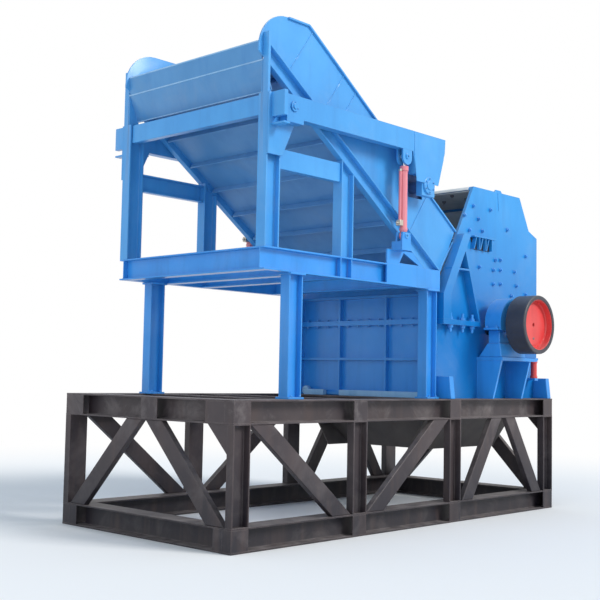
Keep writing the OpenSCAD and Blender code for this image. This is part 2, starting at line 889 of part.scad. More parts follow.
// Stiffeners that stand out from a side wall round the bearing
module side_ribs() {
    slope_top_z = slope_z + 740;
    rise = (slope_top_z - slope_z) * hood_run;
    up = split_z + rib_t + 1;
    shelf_rib_z = slope_z + 300;
    shelf_x = cx + rib_t + (shelf_rib_z - slope_z) * hood_run;
    shelf_end = rib_foot_x - (shelf_rib_z - up) / (rib_top[1] - up) * (rib_foot_x - rib_top[0]);
    side_plate(half_crusher, rib_out, [[cx, up], [cx + rib_t, up], [cx + rib_t, slope_z],
        [cx + rib_t + rise, slope_top_z], [cx + rise, slope_top_z], [cx, slope_z]]);
    side_plate(half_crusher + rib_out - plate_t, plate_t, [[cx, up], [cx + rib_band, up],
        [cx + rib_band, slope_z], [cx + rib_band + rise, slope_top_z],
        [cx + rise, slope_top_z], [cx, slope_z]]);
    side_plate(half_crusher, rib_out, [[rib_foot_x - rib_t, up], [rib_foot_x, up],
        [rib_top[0] + rib_t, rib_top[1]], [rib_top[0], rib_top[1]]]);
    side_plate(half_crusher, rib_out, [[shelf_x - rib_t, shelf_rib_z], [shelf_end, shelf_rib_z],
        [shelf_end, shelf_rib_z + plate_t], [shelf_x - rib_t, shelf_rib_z + plate_t]]);
    for (x = [[cx, rib_foot_x], [2 * shaft_x - rib_foot_x, rear_x]])
        side_plate(half_crusher, rib_out, [[x[0], split_z - rib_t], [x[1], split_z - rib_t],
            [x[1], split_z + rib_t], [x[0], split_z + rib_t]]);
}

module crusher_side_ribs() {
    color(blue_paint)
        both_sides()
            side_ribs();
}

foot_h = 260;
foot_l = 80;

// Wedge feet that hold the crusher down on the base's beams
module crusher_feet() {
    foot_in = half_base - 20;
    color(blue_paint)
        both_sides()
            for (x = [cx, rear_x - foot_l])
                translate([x, 0, base_h])
                    rotate([90, 0, 90])
                        linear_extrude(foot_l)
                            polygon([[half_crusher, 0], [foot_in, 0], [foot_in - 30, foot_h],
                                [half_crusher, foot_h]]);
}

shelf_x = [shaft_x - 280, shaft_x + 520];
shelf_out = wheel_y - wheel_w - 80;
housing_in = half_crusher + 148; // inner end of the bearing housings
cover_drop = 70; // covers' lower edge below the shaft's centre

module bearing_shelves() {
    color(blue_paint)
        both_sides() {
            translate([shelf_x[0], half_crusher, shelf_z - wall_t])
                cube([shelf_x[1] - shelf_x[0], shelf_out - half_crusher, wall_t]);
            for (x = [shelf_x[0] + 10, shelf_x[1] - 150])
                translate([x, 0, 0])
                    rotate([90, 0, 90])
                        linear_extrude(rib_t)
                            polygon([[half_crusher, shelf_z - wall_t], [shelf_out - 20, shelf_z - wall_t],
                                [half_base - 10, base_h], [half_crusher, base_h]]);
        }
}

// Bore for the rotor shaft through the bearing housings
module shaft_bore() {
    translate([shaft_x, 0, shaft_z])
        rotate([90, 0, 0])
            cylinder(d = shaft_d + 2 * run_gap, h = 2 * base_w, center = true);
}

module bearing_blocks() {
    block_h = 170;
    block_top = shelf_z + block_h;
    color(blue_paint)
        both_sides()
            difference() {
                union() {
                    translate([shelf_x[0] + 10, 0, 0])
                        rotate([90, 0, 90])
                            linear_extrude(2 * (shaft_x - shelf_x[0] - 10))
                                polygon([[half_crusher + 20, shelf_z], [shelf_out - 20, shelf_z],
                                    [shelf_out - 40, block_top], [housing_in, block_top]]);
                    translate([shaft_x - 250, housing_in, block_top])
                        cube([500, shelf_out - 60 - housing_in, shaft_z - cover_drop - block_top]);
                }
                shaft_bore();
            }
}

module bearing_covers() {
    cover_l = wheel_y - wheel_w - 75 - housing_in;
    color(blue_paint)
        both_sides()
            difference() {
                union() {
                    translate([shaft_x, housing_in + cover_l, shaft_z])
                        rotate([90, 0, 0])
                            cylinder(d = cover_d, h = cover_l);
                    translate([shaft_x - cover_d / 2, housing_in, shaft_z - cover_drop])
                        cube([cover_d, cover_l, cover_drop]);
                }
                translate([shaft_x - cover_d, housing_in - 1, shaft_z - cover_drop - cover_d])
                    cube([2 * cover_d, cover_l + 2, cover_d]);
                shaft_bore();
            }
}

disc_t = 60;
disc_span = 2 * (side_in - 40);
disc_step = (disc_span - disc_t) / (disc_n - 1);
bar_r = 470;
bar_d = 70;
hammer_w = 170;

wheel_disc_t = 40;
wheel_recess = 90; // wheels' outer face to their discs
shaft_end = wheel_y - wheel_recess - wheel_disc_t;

module rotor_shaft() {
    color("silver")
        translate([shaft_x, 0, shaft_z])
            rotate([90, 0, 0])
                cylinder(d = shaft_d, h = 2 * shaft_end, center = true);
}

module rotor_discs() {
    color("dimgray")
        for (i = [0 : disc_n - 1])
            translate([shaft_x, -disc_span / 2 + disc_t + i * disc_step, shaft_z])
                rotate([90, 0, 0])
                    difference() {
                        cylinder(d = disc_d, h = disc_t);
                        translate([0, 0, -1])
                            cylinder(d = shaft_d, h = disc_t + 2);
                        for (a = [45 : 90 : 315])
                            rotate([0, 0, a])
                                translate([bar_r, 0, -1])
                                    cylinder(d = bar_d + 2 * run_gap, h = disc_t + 2);
                    }
}

// Four rows of hammers, each row on its own bar through the discs
module rotor_hammers() {
    color("gray")
        translate([shaft_x, 0, shaft_z])
            for (a = [45 : 90 : 315])
                rotate([0, -a, 0]) {
                    translate([bar_r, disc_span / 2, 0])
                        rotate([90, 0, 0])
                            cylinder(d = bar_d, h = disc_span);
                    for (i = [0 : disc_n - 2])
                        translate([bar_r - 80, -disc_span / 2 + disc_t + i * disc_step + 20, -hammer_w / 2])
                            cube([hammer_r - bar_r + 65, disc_step - disc_t - 40, hammer_w]);
                }
}

rim_t = 50;

module wheel_rims() {
    color(tyre_black)
        both_sides()
            translate([shaft_x, wheel_y, shaft_z])
                rotate([90, 0, 0])
                    difference() {
                        cylinder(d = wheel_d, h = wheel_w);
                        translate([0, 0, -1])
                            cylinder(d = wheel_d - 2 * rim_t, h = wheel_w + 2);
                    }
}

// Plain discs that cover the shaft's ends, each with a hub behind it
module wheel_discs() {
    hub_l = shaft_end - wheel_y + wheel_w - 10;
    color(red_paint)
        both_sides()
            translate([shaft_x, shaft_end, shaft_z])
                rotate([90, 0, 0])
                    difference() {
                        union() {
                            translate([0, 0, -wheel_disc_t])
                                cylinder(d = wheel_d - 2 * rim_t, h = wheel_disc_t);
                            cylinder(d = shaft_d + 80, h = hub_l);
                        }
                        cylinder(d = shaft_d, h = hub_l + 1);
                    }
}

service_x = rear_x - 230;

service_y = half_crusher + rib_out;
service_z = base_h + foot_h;
service_l = 230;
service_plate = 30;

module service_cylinders() {
    color(red_paint)
        both_sides()
            translate([service_x, service_y, service_z])
                cylinder(d = 80, h = service_l);
}

module service_mounts() {
    color(blue_paint)
        both_sides()
            for (z = [service_z - service_plate, service_z + service_l])
                translate([service_x - 40, half_crusher, z])
                    cube([80, service_y + 40 - half_crusher, service_plate]);
}

module crusher_front_bar() {
    color(blue_paint)
        translate([cx - 130, -half_feeder + 220, base_h])
            cube([65, feeder_w - 440, 70]);
}

base_long_beams();
base_end_beams();
base_cross_beams();
base_posts();
base_side_braces();
base_end_braces();
base_gussets();
hopper_side_plates();
hopper_end_plates();
feeder_legs();
platform_side_beams();
platform_cross_beams();
feeder_front_posts();
feeder_mid_posts();
feeder_side_rails();
feeder_front_beam();
trough_end_panel();
trough_stringers();
trough_floor();
trough_floor_ribs();
trough_cheeks();
arm_pivot_brackets();
arm_pivot_pins();
lift_brackets();
press_arms();
press_roller();
lift_barrels();
lift_rod_near();
lift_rod_far();
crusher_lower_sides();
crusher_upper_sides();
crusher_front_wall();
crusher_front_ribs();
crusher_rear_wall();
crusher_rear_ribs();
crusher_hood();
crusher_side_ribs();
crusher_feet();
bearing_shelves();
bearing_blocks();
bearing_covers();
rotor_shaft();
rotor_discs();
rotor_hammers();
wheel_rims();
wheel_discs();
service_cylinders();
service_mounts();
crusher_front_bar();
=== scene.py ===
# Scrap metal hammer mill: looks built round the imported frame, in metres
import bpy, bmesh, random
from math import cos, pi, radians, sin, tan
from mathutils import Matrix, Vector


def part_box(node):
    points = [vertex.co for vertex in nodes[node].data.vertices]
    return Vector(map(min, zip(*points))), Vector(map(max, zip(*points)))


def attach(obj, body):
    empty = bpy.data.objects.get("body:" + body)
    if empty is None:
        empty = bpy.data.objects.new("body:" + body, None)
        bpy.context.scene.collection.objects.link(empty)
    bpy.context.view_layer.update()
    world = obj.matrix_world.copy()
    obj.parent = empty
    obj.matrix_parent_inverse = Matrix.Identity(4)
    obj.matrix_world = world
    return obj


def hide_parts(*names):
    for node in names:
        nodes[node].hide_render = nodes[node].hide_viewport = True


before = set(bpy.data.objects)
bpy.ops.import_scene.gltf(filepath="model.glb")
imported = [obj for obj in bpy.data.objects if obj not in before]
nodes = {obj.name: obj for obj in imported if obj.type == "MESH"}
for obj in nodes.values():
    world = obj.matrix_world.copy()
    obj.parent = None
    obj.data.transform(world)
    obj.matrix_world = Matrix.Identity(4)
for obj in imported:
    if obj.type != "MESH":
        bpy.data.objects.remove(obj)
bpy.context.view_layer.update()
random.seed(7)


class Value:                                     # a socket that can be used in an expression
    def __init__(self, shader, socket):
        self.shader, self.socket = shader, socket

    def maths(self, operation, first, second=0.0, clamp=False):
        settings = {"operation": operation, "use_clamp": clamp}
        return self.shader.node("ShaderNodeMath", settings, {0: first, 1: second})

    def __add__(self, other): return self.maths("ADD", self, other)
    def __radd__(self, other): return self.maths("ADD", other, self)
    def __sub__(self, other): return self.maths("SUBTRACT", self, other)
    def __rsub__(self, other): return self.maths("SUBTRACT", other, self)
    def __mul__(self, other): return self.maths("MULTIPLY", self, other)
    def __rmul__(self, other): return self.maths("MULTIPLY", other, self)
    def clamped(self): return self.maths("ADD", self, 0.0, True)
    def over(self, other): return self.maths("MAXIMUM", self, other)


class Shader:                                    # the nodes of one material or of the world
    def __init__(self, owner):
        owner.use_nodes = True
        self.owner, self.tree = owner, owner.node_tree
        self.tree.nodes.clear()

    def node(self, kind, settings=None, inputs=None, output=0):
        made = self.tree.nodes.new(kind)
        for key, value in (settings or {}).items():
            if key == "stops":
                ramp = made.color_ramp
                while len(ramp.elements) < len(value):
                    ramp.elements.new(1.0)
                for element, (place, level) in zip(ramp.elements, value):
                    element.position = place
                    element.color = (level, level, level, 1) if isinstance(level, float) else (*level, 1)
            else:
                setattr(made, key, value)
        for key, value in (inputs or {}).items():
            if isinstance(value, Value):
                self.tree.links.new(value.socket, made.inputs[key])
            else:
                made.inputs[key].default_value = value
        return Value(self, made.outputs[output]) if made.outputs else None

    def coords(self, scale=(1, 1, 1), turn=(0, 0, 0)):
        place = self.node("ShaderNodeTexCoord", {}, {}, "Object")
        return self.node("ShaderNodeMapping", {}, {"Vector": place, "Scale": scale, "Rotation": turn})

    def noise(self, scale, detail=4.0, rough=0.55, stretch=(1, 1, 1), twist=0.0):
        return self.node("ShaderNodeTexNoise", {}, {"Vector": self.coords(stretch), "Scale": scale,
                         "Detail": detail, "Roughness": rough, "Distortion": twist})

    def ramp(self, value, *stops):
        return self.node("ShaderNodeValToRGB", {"stops": stops}, {0: value})

    def mix(self, share, first, second):
        first, second = (c if isinstance(c, Value) else (*c, 1) for c in (first, second))
        return self.node("ShaderNodeMix", {"data_type": "RGBA", "clamp_factor": True},
                         {0: share, 6: first, 7: second}, 2)

    def facingUp(self):
        normal = self.node("ShaderNodeTexCoord", {}, {}, "Normal")
        return self.node("ShaderNodeSeparateXYZ", {}, {0: normal}, "Z")

    def between(self, low, high):                # 0 below the low level, 1 above the high one
        height = self.node("ShaderNodeSeparateXYZ", {}, {0: self.coords()}, "Z")
        return self.node("ShaderNodeMapRange", {"interpolation_type": "SMOOTHSTEP"},
                         {0: height, 1: low, 2: high, 3: 0.0, 4: 1.0})

    def edges(self, radius):                     # 1 on sharp edges, 0 on flats
        soft = self.node("ShaderNodeBevel", {"samples": 4}, {"Radius": radius})
        hard = self.node("ShaderNodeNewGeometry", {}, {}, "Normal")
        same = self.node("ShaderNodeVectorMath", {"operation": "DOT_PRODUCT"}, {0: soft, 1: hard}, "Value")
        return self.ramp(1 - same, (0.02, 0.0), (0.22, 1.0))

    def finish(self, colour, rough, bump, metal=0.0, strength=0.15, distance=0.002, coat=0.0):
        inputs = {"Base Color": colour, "Roughness": rough, "Metallic": metal, "Coat Weight": coat,
                  "Coat Roughness": 0.25, "Specular IOR Level": 0.4}
        inputs["Normal"] = self.node("ShaderNodeBump", {}, {"Strength": strength, "Distance": distance,
                                     "Height": bump})
        surface = self.node("ShaderNodeBsdfPrincipled", {}, inputs)
        self.node("ShaderNodeOutputMaterial", {}, {"Surface": surface})
        return self.owner


def paintFinish(name, look):
    s = Shader(bpy.data.materials.new(name))
    cloud = s.noise(look["cloudScale"], 5.0, 0.6)
    streak = s.noise(5.0, 6.0, 0.6, (1, 1, 0.12), 0.4)
    grain = s.noise(90.0, 3.0, 0.6)
    tone = s.mix(s.ramp(cloud, (0.35, 0.0), (0.68, 1.0)), look["colour"], look["faded"])
    if "low" in look:                            # painted shade: the colour darkens towards the ground
        tone = s.mix(1 - s.between(look["lowFrom"], look["lowTo"]), tone, look["low"])
    tone = s.mix(s.ramp(streak, (0.5, 0.0), (0.72, 1.0)) * look["streaks"], tone, look["stain"])
    up = s.ramp(s.facingUp(), (0.35, 0.0), (0.95, 1.0))
    settled = s.ramp(s.noise(7.0, 7.0, 0.62), (0.34, 0.25), (0.62, 1.0))
    drift = s.ramp(s.noise(2.3, 8.0, 0.66, twist=0.6), (0.50, 0.0), (0.78, 1.0))
    dust = (up * settled * look["dustTop"] + drift * look["dust"]).clamped()
    if "dustHigh" in look:                       # more dust lies near the top of the base
        dust = (dust + s.between(0.9, 1.3) * drift * look["dustHigh"]).clamped()
    tone = s.mix(dust, tone, look["dustColour"])
    edge = s.edges(look["wearWidth"])
    broken = s.noise(34.0, 6.0, 0.7)
    wear = s.ramp(edge * (broken + 0.25), (look["wearAt"], 0.0), (look["wearAt"] + 0.14, 1.0)) * look["wear"]
    chips = s.ramp(s.noise(16.0, 7.0, 0.75, twist=0.3), (0.70, 0.0), (0.735, 1.0)) * look["chips"]
    bare = wear.over(chips)
    tone = s.mix(bare, tone, look["bare"])
    rough = (look["rough"] + dust * 0.35 + grain * 0.08 - 0.04 + bare * 0.15).clamped()
    bump = grain * 0.35 + s.noise(14.0, 3.0, 0.5) * 0.8 - bare * 0.9 + dust * 0.2
    return s.finish(tone, rough, bump, strength=look["bump"], distance=0.0016, coat=look["coat"])


feederPaintLook = {"colour": (0.046, 0.285, 0.66), "faded": (0.068, 0.345, 0.74),
                   "stain": (0.030, 0.185, 0.48), "bare": (0.17, 0.30, 0.48),
                   "dustColour": (0.36, 0.42, 0.50), "cloudScale": 1.1, "streaks": 0.35,
                   "dustTop": 0.45, "dust": 0.10, "wearWidth": 0.005, "wearAt": 0.44,
                   "wear": 0.65, "chips": 0.35, "rough": 0.34, "bump": 0.25, "coat": 0.2}
# the crusher housing blue, with painted shade that darkens it towards the ground
housingPaintLook = dict(feederPaintLook, colour=(0.012, 0.265, 0.66), faded=(0.030, 0.310, 0.72),
                        stain=(0.010, 0.150, 0.44), low=(0.001, 0.165, 0.50), lowFrom=2.0, lowTo=4.1)
framePaintLook = dict(feederPaintLook, colour=(0.022, 0.250, 0.68), faded=(0.040, 0.295, 0.76),
                      stain=(0.010, 0.150, 0.44), dust=0.08)
panelPaintLook = dict(feederPaintLook, colour=(0.058, 0.235, 0.50), faded=(0.085, 0.290, 0.58), dust=0.22,
                      dustColour=(0.26, 0.34, 0.44))
floorPaintLook = dict(panelPaintLook, colour=(0.088, 0.290, 0.58), faded=(0.122, 0.345, 0.66))
wornPaintLook = dict(feederPaintLook, colour=(0.20, 0.45, 0.72), faded=(0.34, 0.56, 0.78), wear=0.9,
                     chips=0.7)
redPaintLook = dict(feederPaintLook, colour=(0.64, 0.042, 0.044), faded=(0.74, 0.080, 0.074),
                    stain=(0.34, 0.018, 0.024), bare=(0.16, 0.10, 0.09), dustColour=(0.45, 0.30, 0.28),
                    dustTop=0.35, rough=0.32)
# partly dust, partly painted highlight: the barrel red is paled towards pink for the light on the round
# barrels
barrelHighlitPaintLook = dict(redPaintLook, colour=(0.66, 0.17, 0.21), faded=(0.74, 0.27, 0.31),
                       stain=(0.42, 0.06, 0.08), dustColour=(0.60, 0.48, 0.47), dust=0.25)
# the dark base primer, with painted shade that darkens it towards the ground
basePaintLook = dict(feederPaintLook, colour=(0.029, 0.023, 0.029), faded=(0.056, 0.043, 0.047),
                     low=(0.013, 0.011, 0.017), lowFrom=0.15, lowTo=1.05,
                     stain=(0.070, 0.046, 0.042), bare=(0.16, 0.13, 0.13), dustColour=(0.20, 0.18, 0.18),
                     cloudScale=1.7, streaks=0.5, dustTop=0.75, dust=0.26, dustHigh=0.55, wearWidth=0.014,
                     wearAt=0.38, wear=0.5, chips=0.4, rough=0.5, bump=0.4, coat=0.06)
wheelPaintLook = dict(feederPaintLook, colour=(0.024, 0.027, 0.040), faded=(0.042, 0.046, 0.062),
                      stain=(0.05, 0.045, 0.045), bare=(0.16, 0.13, 0.12), dustColour=(0.18, 0.18, 0.20),
                      streaks=0.3, dustTop=0.35, rough=0.42, coat=0.1)
hopperPaintLook = dict(basePaintLook, colour=(0.085, 0.078, 0.078), faded=(0.13, 0.115, 0.11),
                       stain=(0.08, 0.055, 0.045), bare=(0.09, 0.06, 0.05), rough=0.62, coat=0.0)
feederPaint = paintFinish("feederPaint", feederPaintLook)
housingPaint = paintFinish("housingPaint", housingPaintLook)
framePaint = paintFinish("framePaint", framePaintLook)
panelPaint = paintFinish("panelPaint", panelPaintLook)
floorPaint = paintFinish("floorPaint", floorPaintLook)
wornPaint = paintFinish("wornPaint", wornPaintLook)
redPaint = paintFinish("redPaint", redPaintLook)
# the barrel red, paled as painted highlight
barrelHighlitPaint = paintFinish("barrelHighlitPaint", barrelHighlitPaintLook)
basePaint = paintFinish("basePaint", basePaintLook)
wheelPaint = paintFinish("wheelPaint", wheelPaintLook)
hopperPaint = paintFinish("hopperPaint", hopperPaintLook)


def steelFinish(name, look):
    s = Shader(bpy.data.materials.new(name))
    scratch = s.noise(60.0, 4.0, 0.7, look["grain"])
    patch = s.noise(3.2, 7.0, 0.65, twist=0.5)
    tone = s.mix(s.ramp(patch, (0.36, 0.0), (0.66, 1.0)), look["colour"], look["second"])
    rust = s.ramp(s.noise(6.5, 8.0, 0.7, twist=0.8), (0.50, 0.0), (0.66, 1.0)) * look["rust"]
    tone = s.mix(rust, tone, look["rustColour"])
    rough = (look["rough"] + scratch * 0.18 - 0.09 + rust * 0.35).clamped()
    return s.finish(tone, rough, scratch * 0.5 + rust * 0.8 + patch * 0.6,
                    metal=(look["metal"] - rust * 0.9).clamped(), strength=look["bump"], distance=0.002)


rodSteelLook = {"colour": (0.62, 0.62, 0.63), "second": (0.50, 0.51, 0.53), "rust": 0.06,
                "rustColour": (0.20, 0.12, 0.08), "rough": 0.26, "metal": 1.0, "bump": 0.05,
                "grain": (1, 1, 0.1)}
boltSteelLook = dict(rodSteelLook, colour=(0.16, 0.16, 0.18), second=(0.23, 0.22, 0.22), rust=0.35,
                     rustColour=(0.13, 0.07, 0.045), rough=0.45, metal=0.75, bump=0.2, grain=(1, 1, 1))
# light steel for the hood liner, its colour pushed near to white as painted light for the brightly lit
# interior
linerSteelLook = dict(rodSteelLook, colour=(0.80, 0.84, 0.84), second=(0.68, 0.72, 0.72), rust=0.12,
                      rustColour=(0.50, 0.42, 0.34), rough=0.5, metal=0.05, bump=0.25, grain=(1, 1, 0.25))
rotorSteelLook = dict(rodSteelLook, colour=(0.15, 0.13, 0.12), second=(0.22, 0.20, 0.19), rust=0.7,
                      rustColour=(0.15, 0.065, 0.03), rough=0.55, metal=0.6, bump=0.5, grain=(1, 0.3, 1))
rollerSteelLook = dict(rotorSteelLook, colour=(0.025, 0.085, 0.24), second=(0.045, 0.11, 0.27), rust=0.25,
                       rustColour=(0.09, 0.06, 0.07), metal=0.2)
fittingLook = dict(rodSteelLook, colour=(0.58, 0.54, 0.46), second=(0.46, 0.44, 0.40), rust=0.1,
                   rustColour=(0.16, 0.12, 0.08), rough=0.35, metal=0.9, bump=0.1, grain=(1, 1, 1))
rodSteel = steelFinish("rodSteel", rodSteelLook)
boltSteel = steelFinish("boltSteel", boltSteelLook)
linerSteel = steelFinish("linerSteel", linerSteelLook)
rotorSteel = steelFinish("rotorSteel", rotorSteelLook)
rollerSteel = steelFinish("rollerSteel", rollerSteelLook)
fittingBrass = steelFinish("fittingBrass", fittingLook)
print("materials made")

blueSlot, darkSlot, redSlot, brightSlot = "blue_paint", "base_paint", "red_paint", "bright_steel"


def addPiece(name, bm, material, body, replaces=(), smooth=21):
    bmesh.ops.recalc_face_normals(bm, faces=bm.faces)
    mesh = bpy.data.meshes.new(name)
    bm.to_mesh(mesh)
    bm.free()
    mesh.materials.append(material)
    mesh.polygons.foreach_set("use_smooth", [True] * len(mesh.polygons))
    mesh.set_sharp_from_angle(angle=radians(smooth))
    piece = bpy.data.objects.new(name, mesh)
    bpy.context.scene.collection.objects.link(piece)
    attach(piece, body)
    if replaces:
        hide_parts(*replaces)
    return piece


def bevelEdges(bm, edges, width, segments=2):
    if edges:
        bmesh.ops.bevel(bm, geom=edges, offset=width, offset_type="OFFSET", segments=segments, profile=0.5,
                        affect="EDGES", clamp_overlap=True, material=-1)


def edgesOf(verts):
    return list(dict.fromkeys(e for v in verts for e in v.link_edges))


def addBlock(bm, low, high, edge=0.003):
    low, high = Vector(low), Vector(high)
    shape = Matrix.Translation((low + high) / 2) @ Matrix.Diagonal((*(high - low), 1))
    made = bmesh.ops.create_cube(bm, size=1.0, matrix=shape)
    bevelEdges(bm, edgesOf(made["verts"]), edge)


def addPlate(bm, corners, shift, edge=0.0):      # a flat outline given its thickness
    face = bm.faces.new([bm.verts.new(c) for c in corners])
    made = bmesh.ops.extrude_face_region(bm, geom=[face])["geom"]
    fresh = [v for v in made if isinstance(v, bmesh.types.BMVert)]
    bmesh.ops.translate(bm, verts=fresh, vec=shift)
    if edge:
        bevelEdges(bm, edgesOf(fresh + list(face.verts)), edge)


def addBar(bm, start, end, radius, edge=0.002, segments=32, spin=0.0):
    start, end = Vector(start), Vector(end)
    turn = (end - start).to_track_quat("Z", "Y").to_matrix().to_4x4()
    shape = Matrix.Translation((start + end) / 2) @ turn @ Matrix.Rotation(spin, 4, "Z")
    made = bmesh.ops.create_cone(bm, cap_ends=True, segments=segments, radius1=radius, radius2=radius,
                                 depth=(end - start).length, matrix=shape)
    if edge:
        bevelEdges(bm, [e for e in edgesOf(made["verts"]) if e.calc_face_angle(0.0) > radians(61)], edge)


def addRound(bm, x, z, y0, y1, radius, edge, segments):      # a bar along Y
    addBar(bm, (x, y0, z), (x, y1, z), radius, edge, segments)


def addBolt(bm, place, out, size=0.046):         # washer, hexagon head and the end of the thread
    place, out = Vector(place), Vector(out)
    addBar(bm, place - out * 0.002, place + out * size * 0.10, size * 0.66, size * 0.02, 20)
    addBar(bm, place + out * size * 0.09, place + out * size * 0.60, size * 0.577, size * 0.05, 6,
           random.uniform(0, pi / 3))
    addBar(bm, place + out * size * 0.5, place + out * size * 0.9, size * 0.3, size * 0.04, 12)


def addBead(bm, start, end, width):              # a rippled weld along a joint
    start, end = Vector(start), Vector(end)
    along = (end - start).normalized()
    turn = along.to_track_quat("Z", "Y").to_matrix().to_4x4()
    shape = Matrix.Translation((start + end) / 2) @ turn
    made = bmesh.ops.create_cone(bm, cap_ends=True, segments=6, radius1=width / 2, radius2=width / 2,
                                 depth=(end - start).length, matrix=shape)
    sides = [e for e in edgesOf(made["verts"])
             if abs((e.verts[1].co - e.verts[0].co).normalized().dot(along)) > 0.99]
    cuts = max(2, min(90, int((end - start).length / 0.022)))
    fresh = bmesh.ops.subdivide_edges(bm, edges=sides, cuts=cuts)["geom_inner"]
    between = [g for g in fresh if isinstance(g, bmesh.types.BMVert)]
    for v in sorted(between, key=lambda v: tuple(v.co)):     # the order of the draws never varies
        middle = start + along * (v.co - start).dot(along)
        v.co = middle + (v.co - middle) * random.uniform(0.78, 1.2)


def addTurned(bm, profile, centre, side, segments=96):
    # profile is a closed run of (radius, distance inwards from the centre) round an axis along Y
    corners = [bm.verts.new(Vector(centre) + Vector((r, -side * inward, 0))) for r, inward in profile]
    rings = [bm.edges.new((corners[i], corners[(i + 1) % len(corners)])) for i in range(len(corners))]
    bmesh.ops.spin(bm, geom=corners + rings, cent=centre, axis=(0, 1, 0), angle=2 * pi, steps=segments,
                   use_merge=True, use_duplicate=False)
    bmesh.ops.remove_doubles(bm, verts=bm.verts, dist=0.00001)


def cornerEdges(bm, hollow=False):
    found = []
    for e in bm.edges:
        if len(e.link_faces) == 2:
            turn = e.calc_face_angle_signed(0.0)
            if abs(turn) > radians(25) and (turn < 0) == hollow:
                found.append(e)
    return found


def softNode(node, material, body, slot, outer, inner):
    bm = bmesh.new()
    bm.from_mesh(nodes[node].data)
    bmesh.ops.remove_doubles(bm, verts=bm.verts, dist=0.00002)
    before = bm.calc_volume(signed=False)
    bmesh.ops.dissolve_limit(bm, angle_limit=radians(0.6), verts=bm.verts, edges=bm.edges)
    if inner:
        bevelEdges(bm, cornerEdges(bm, True), inner, 3)
    bevelEdges(bm, cornerEdges(bm), outer)
    bmesh.ops.triangulate(bm, faces=[f for f in bm.faces if len(f.verts) > 4])
    change = abs(bm.calc_volume(signed=False) / before - 1)
    if change > 0.03:
        print("check the softened", node, round(change, 3))
    return addPiece(node + "_soft", bm, material, body, (node,))


softened = [  # node, material, body, slot, outer edge radius, inner fillet radius
    ("base_long_beams", basePaint, "base", darkSlot, 0.003, 0.014),
    ("base_end_beams", basePaint, "base", darkSlot, 0.003, 0.014),
    ("base_cross_beams", basePaint, "base", darkSlot, 0.003, 0.014),
    ("base_posts", basePaint, "base", darkSlot, 0.004, 0.012),
    ("base_side_braces", basePaint, "base", darkSlot, 0.008, 0.0),
    ("base_end_braces", basePaint, "base", darkSlot, 0.008, 0.0),
    ("base_gussets", basePaint, "base", darkSlot, 0.002, 0.0),
    ("hopper_side_plates", hopperPaint, "base", "hopper_steel", 0.003, 0.0),
    ("hopper_end_plates", hopperPaint, "base", "hopper_steel", 0.003, 0.0),
    ("feeder_legs", framePaint, "base", blueSlot, 0.003, 0.0),
    ("platform_side_beams", framePaint, "base", blueSlot, 0.003, 0.012),
    ("platform_cross_beams", framePaint, "base", blueSlot, 0.003, 0.012),
    ("feeder_front_posts", feederPaint, "base", blueSlot, 0.003, 0.010),
    ("feeder_mid_posts", feederPaint, "base", blueSlot, 0.003, 0.010),
    ("feeder_side_rails", feederPaint, "base", blueSlot, 0.003, 0.010),
    ("feeder_front_beam", feederPaint, "base", blueSlot, 0.003, 0.010),
    ("trough_end_panel", panelPaint, "base", blueSlot, 0.003, 0.0),
    ("trough_stringers", feederPaint, "base", blueSlot, 0.005, 0.0),
    ("trough_cheeks", feederPaint, "base", blueSlot, 0.003, 0.0),
    ("trough_floor", floorPaint, "base", blueSlot, 0.003, 0.0),
    ("trough_floor_ribs", floorPaint, "base", blueSlot, 0.003, 0.0),
    ("arm_pivot_brackets", feederPaint, "base", blueSlot, 0.003, 0.0),
    ("crusher_hood", housingPaint, "base", blueSlot, 0.003, 0.0),
    ("crusher_feet", framePaint, "base", blueSlot, 0.006, 0.0),
    ("bearing_blocks", framePaint, "base", blueSlot, 0.010, 0.0),
    ("press_roller", rollerSteel, "press_roller", blueSlot, 0.006, 0.0),
    ("rotor_hammers", rotorSteel, "rotor", "worn_steel", 0.012, 0.0),
]
for entry in softened:
    softNode(*entry)
print("rolled sections and plates softened")

keptNodes = {"press_arms": feederPaint, "arm_pivot_pins": rodSteel, "lift_rod_near": rodSteel,
             "lift_rod_far": rodSteel, "rotor_shaft": rodSteel, "rotor_discs": rotorSteel,
             "lift_barrels": barrelHighlitPaint, "service_cylinders": redPaint, "service_mounts": framePaint,
             "lift_brackets": framePaint,
             "crusher_lower_sides": housingPaint, "crusher_upper_sides": housingPaint,
             "crusher_front_wall": framePaint, "crusher_front_ribs": framePaint,
             "crusher_rear_wall": housingPaint, "crusher_rear_ribs": housingPaint,
             "crusher_side_ribs": housingPaint, "bearing_shelves": framePaint, "bearing_covers": framePaint}
for node, material in keptNodes.items():
    data = nodes[node].data
    data.materials.clear()
    data.materials.append(material)

sides = (-1, 1)                                  # near side, far side
wallLow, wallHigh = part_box("crusher_lower_sides")
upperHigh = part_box("crusher_upper_sides")[1]
armLow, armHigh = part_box("press_arms")
feederLow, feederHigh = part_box("platform_side_beams")
shaftMiddle = sum(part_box("rotor_shaft"), Vector()) / 2
crusherFront, crusherRear, crusherFace = wallLow.x, wallHigh.x, wallHigh.y
slopeZ, splitZ, baseZ, roofZ = (wallHigh.z + 0.332, wallHigh.z, wallLow.z, upperHigh.z)

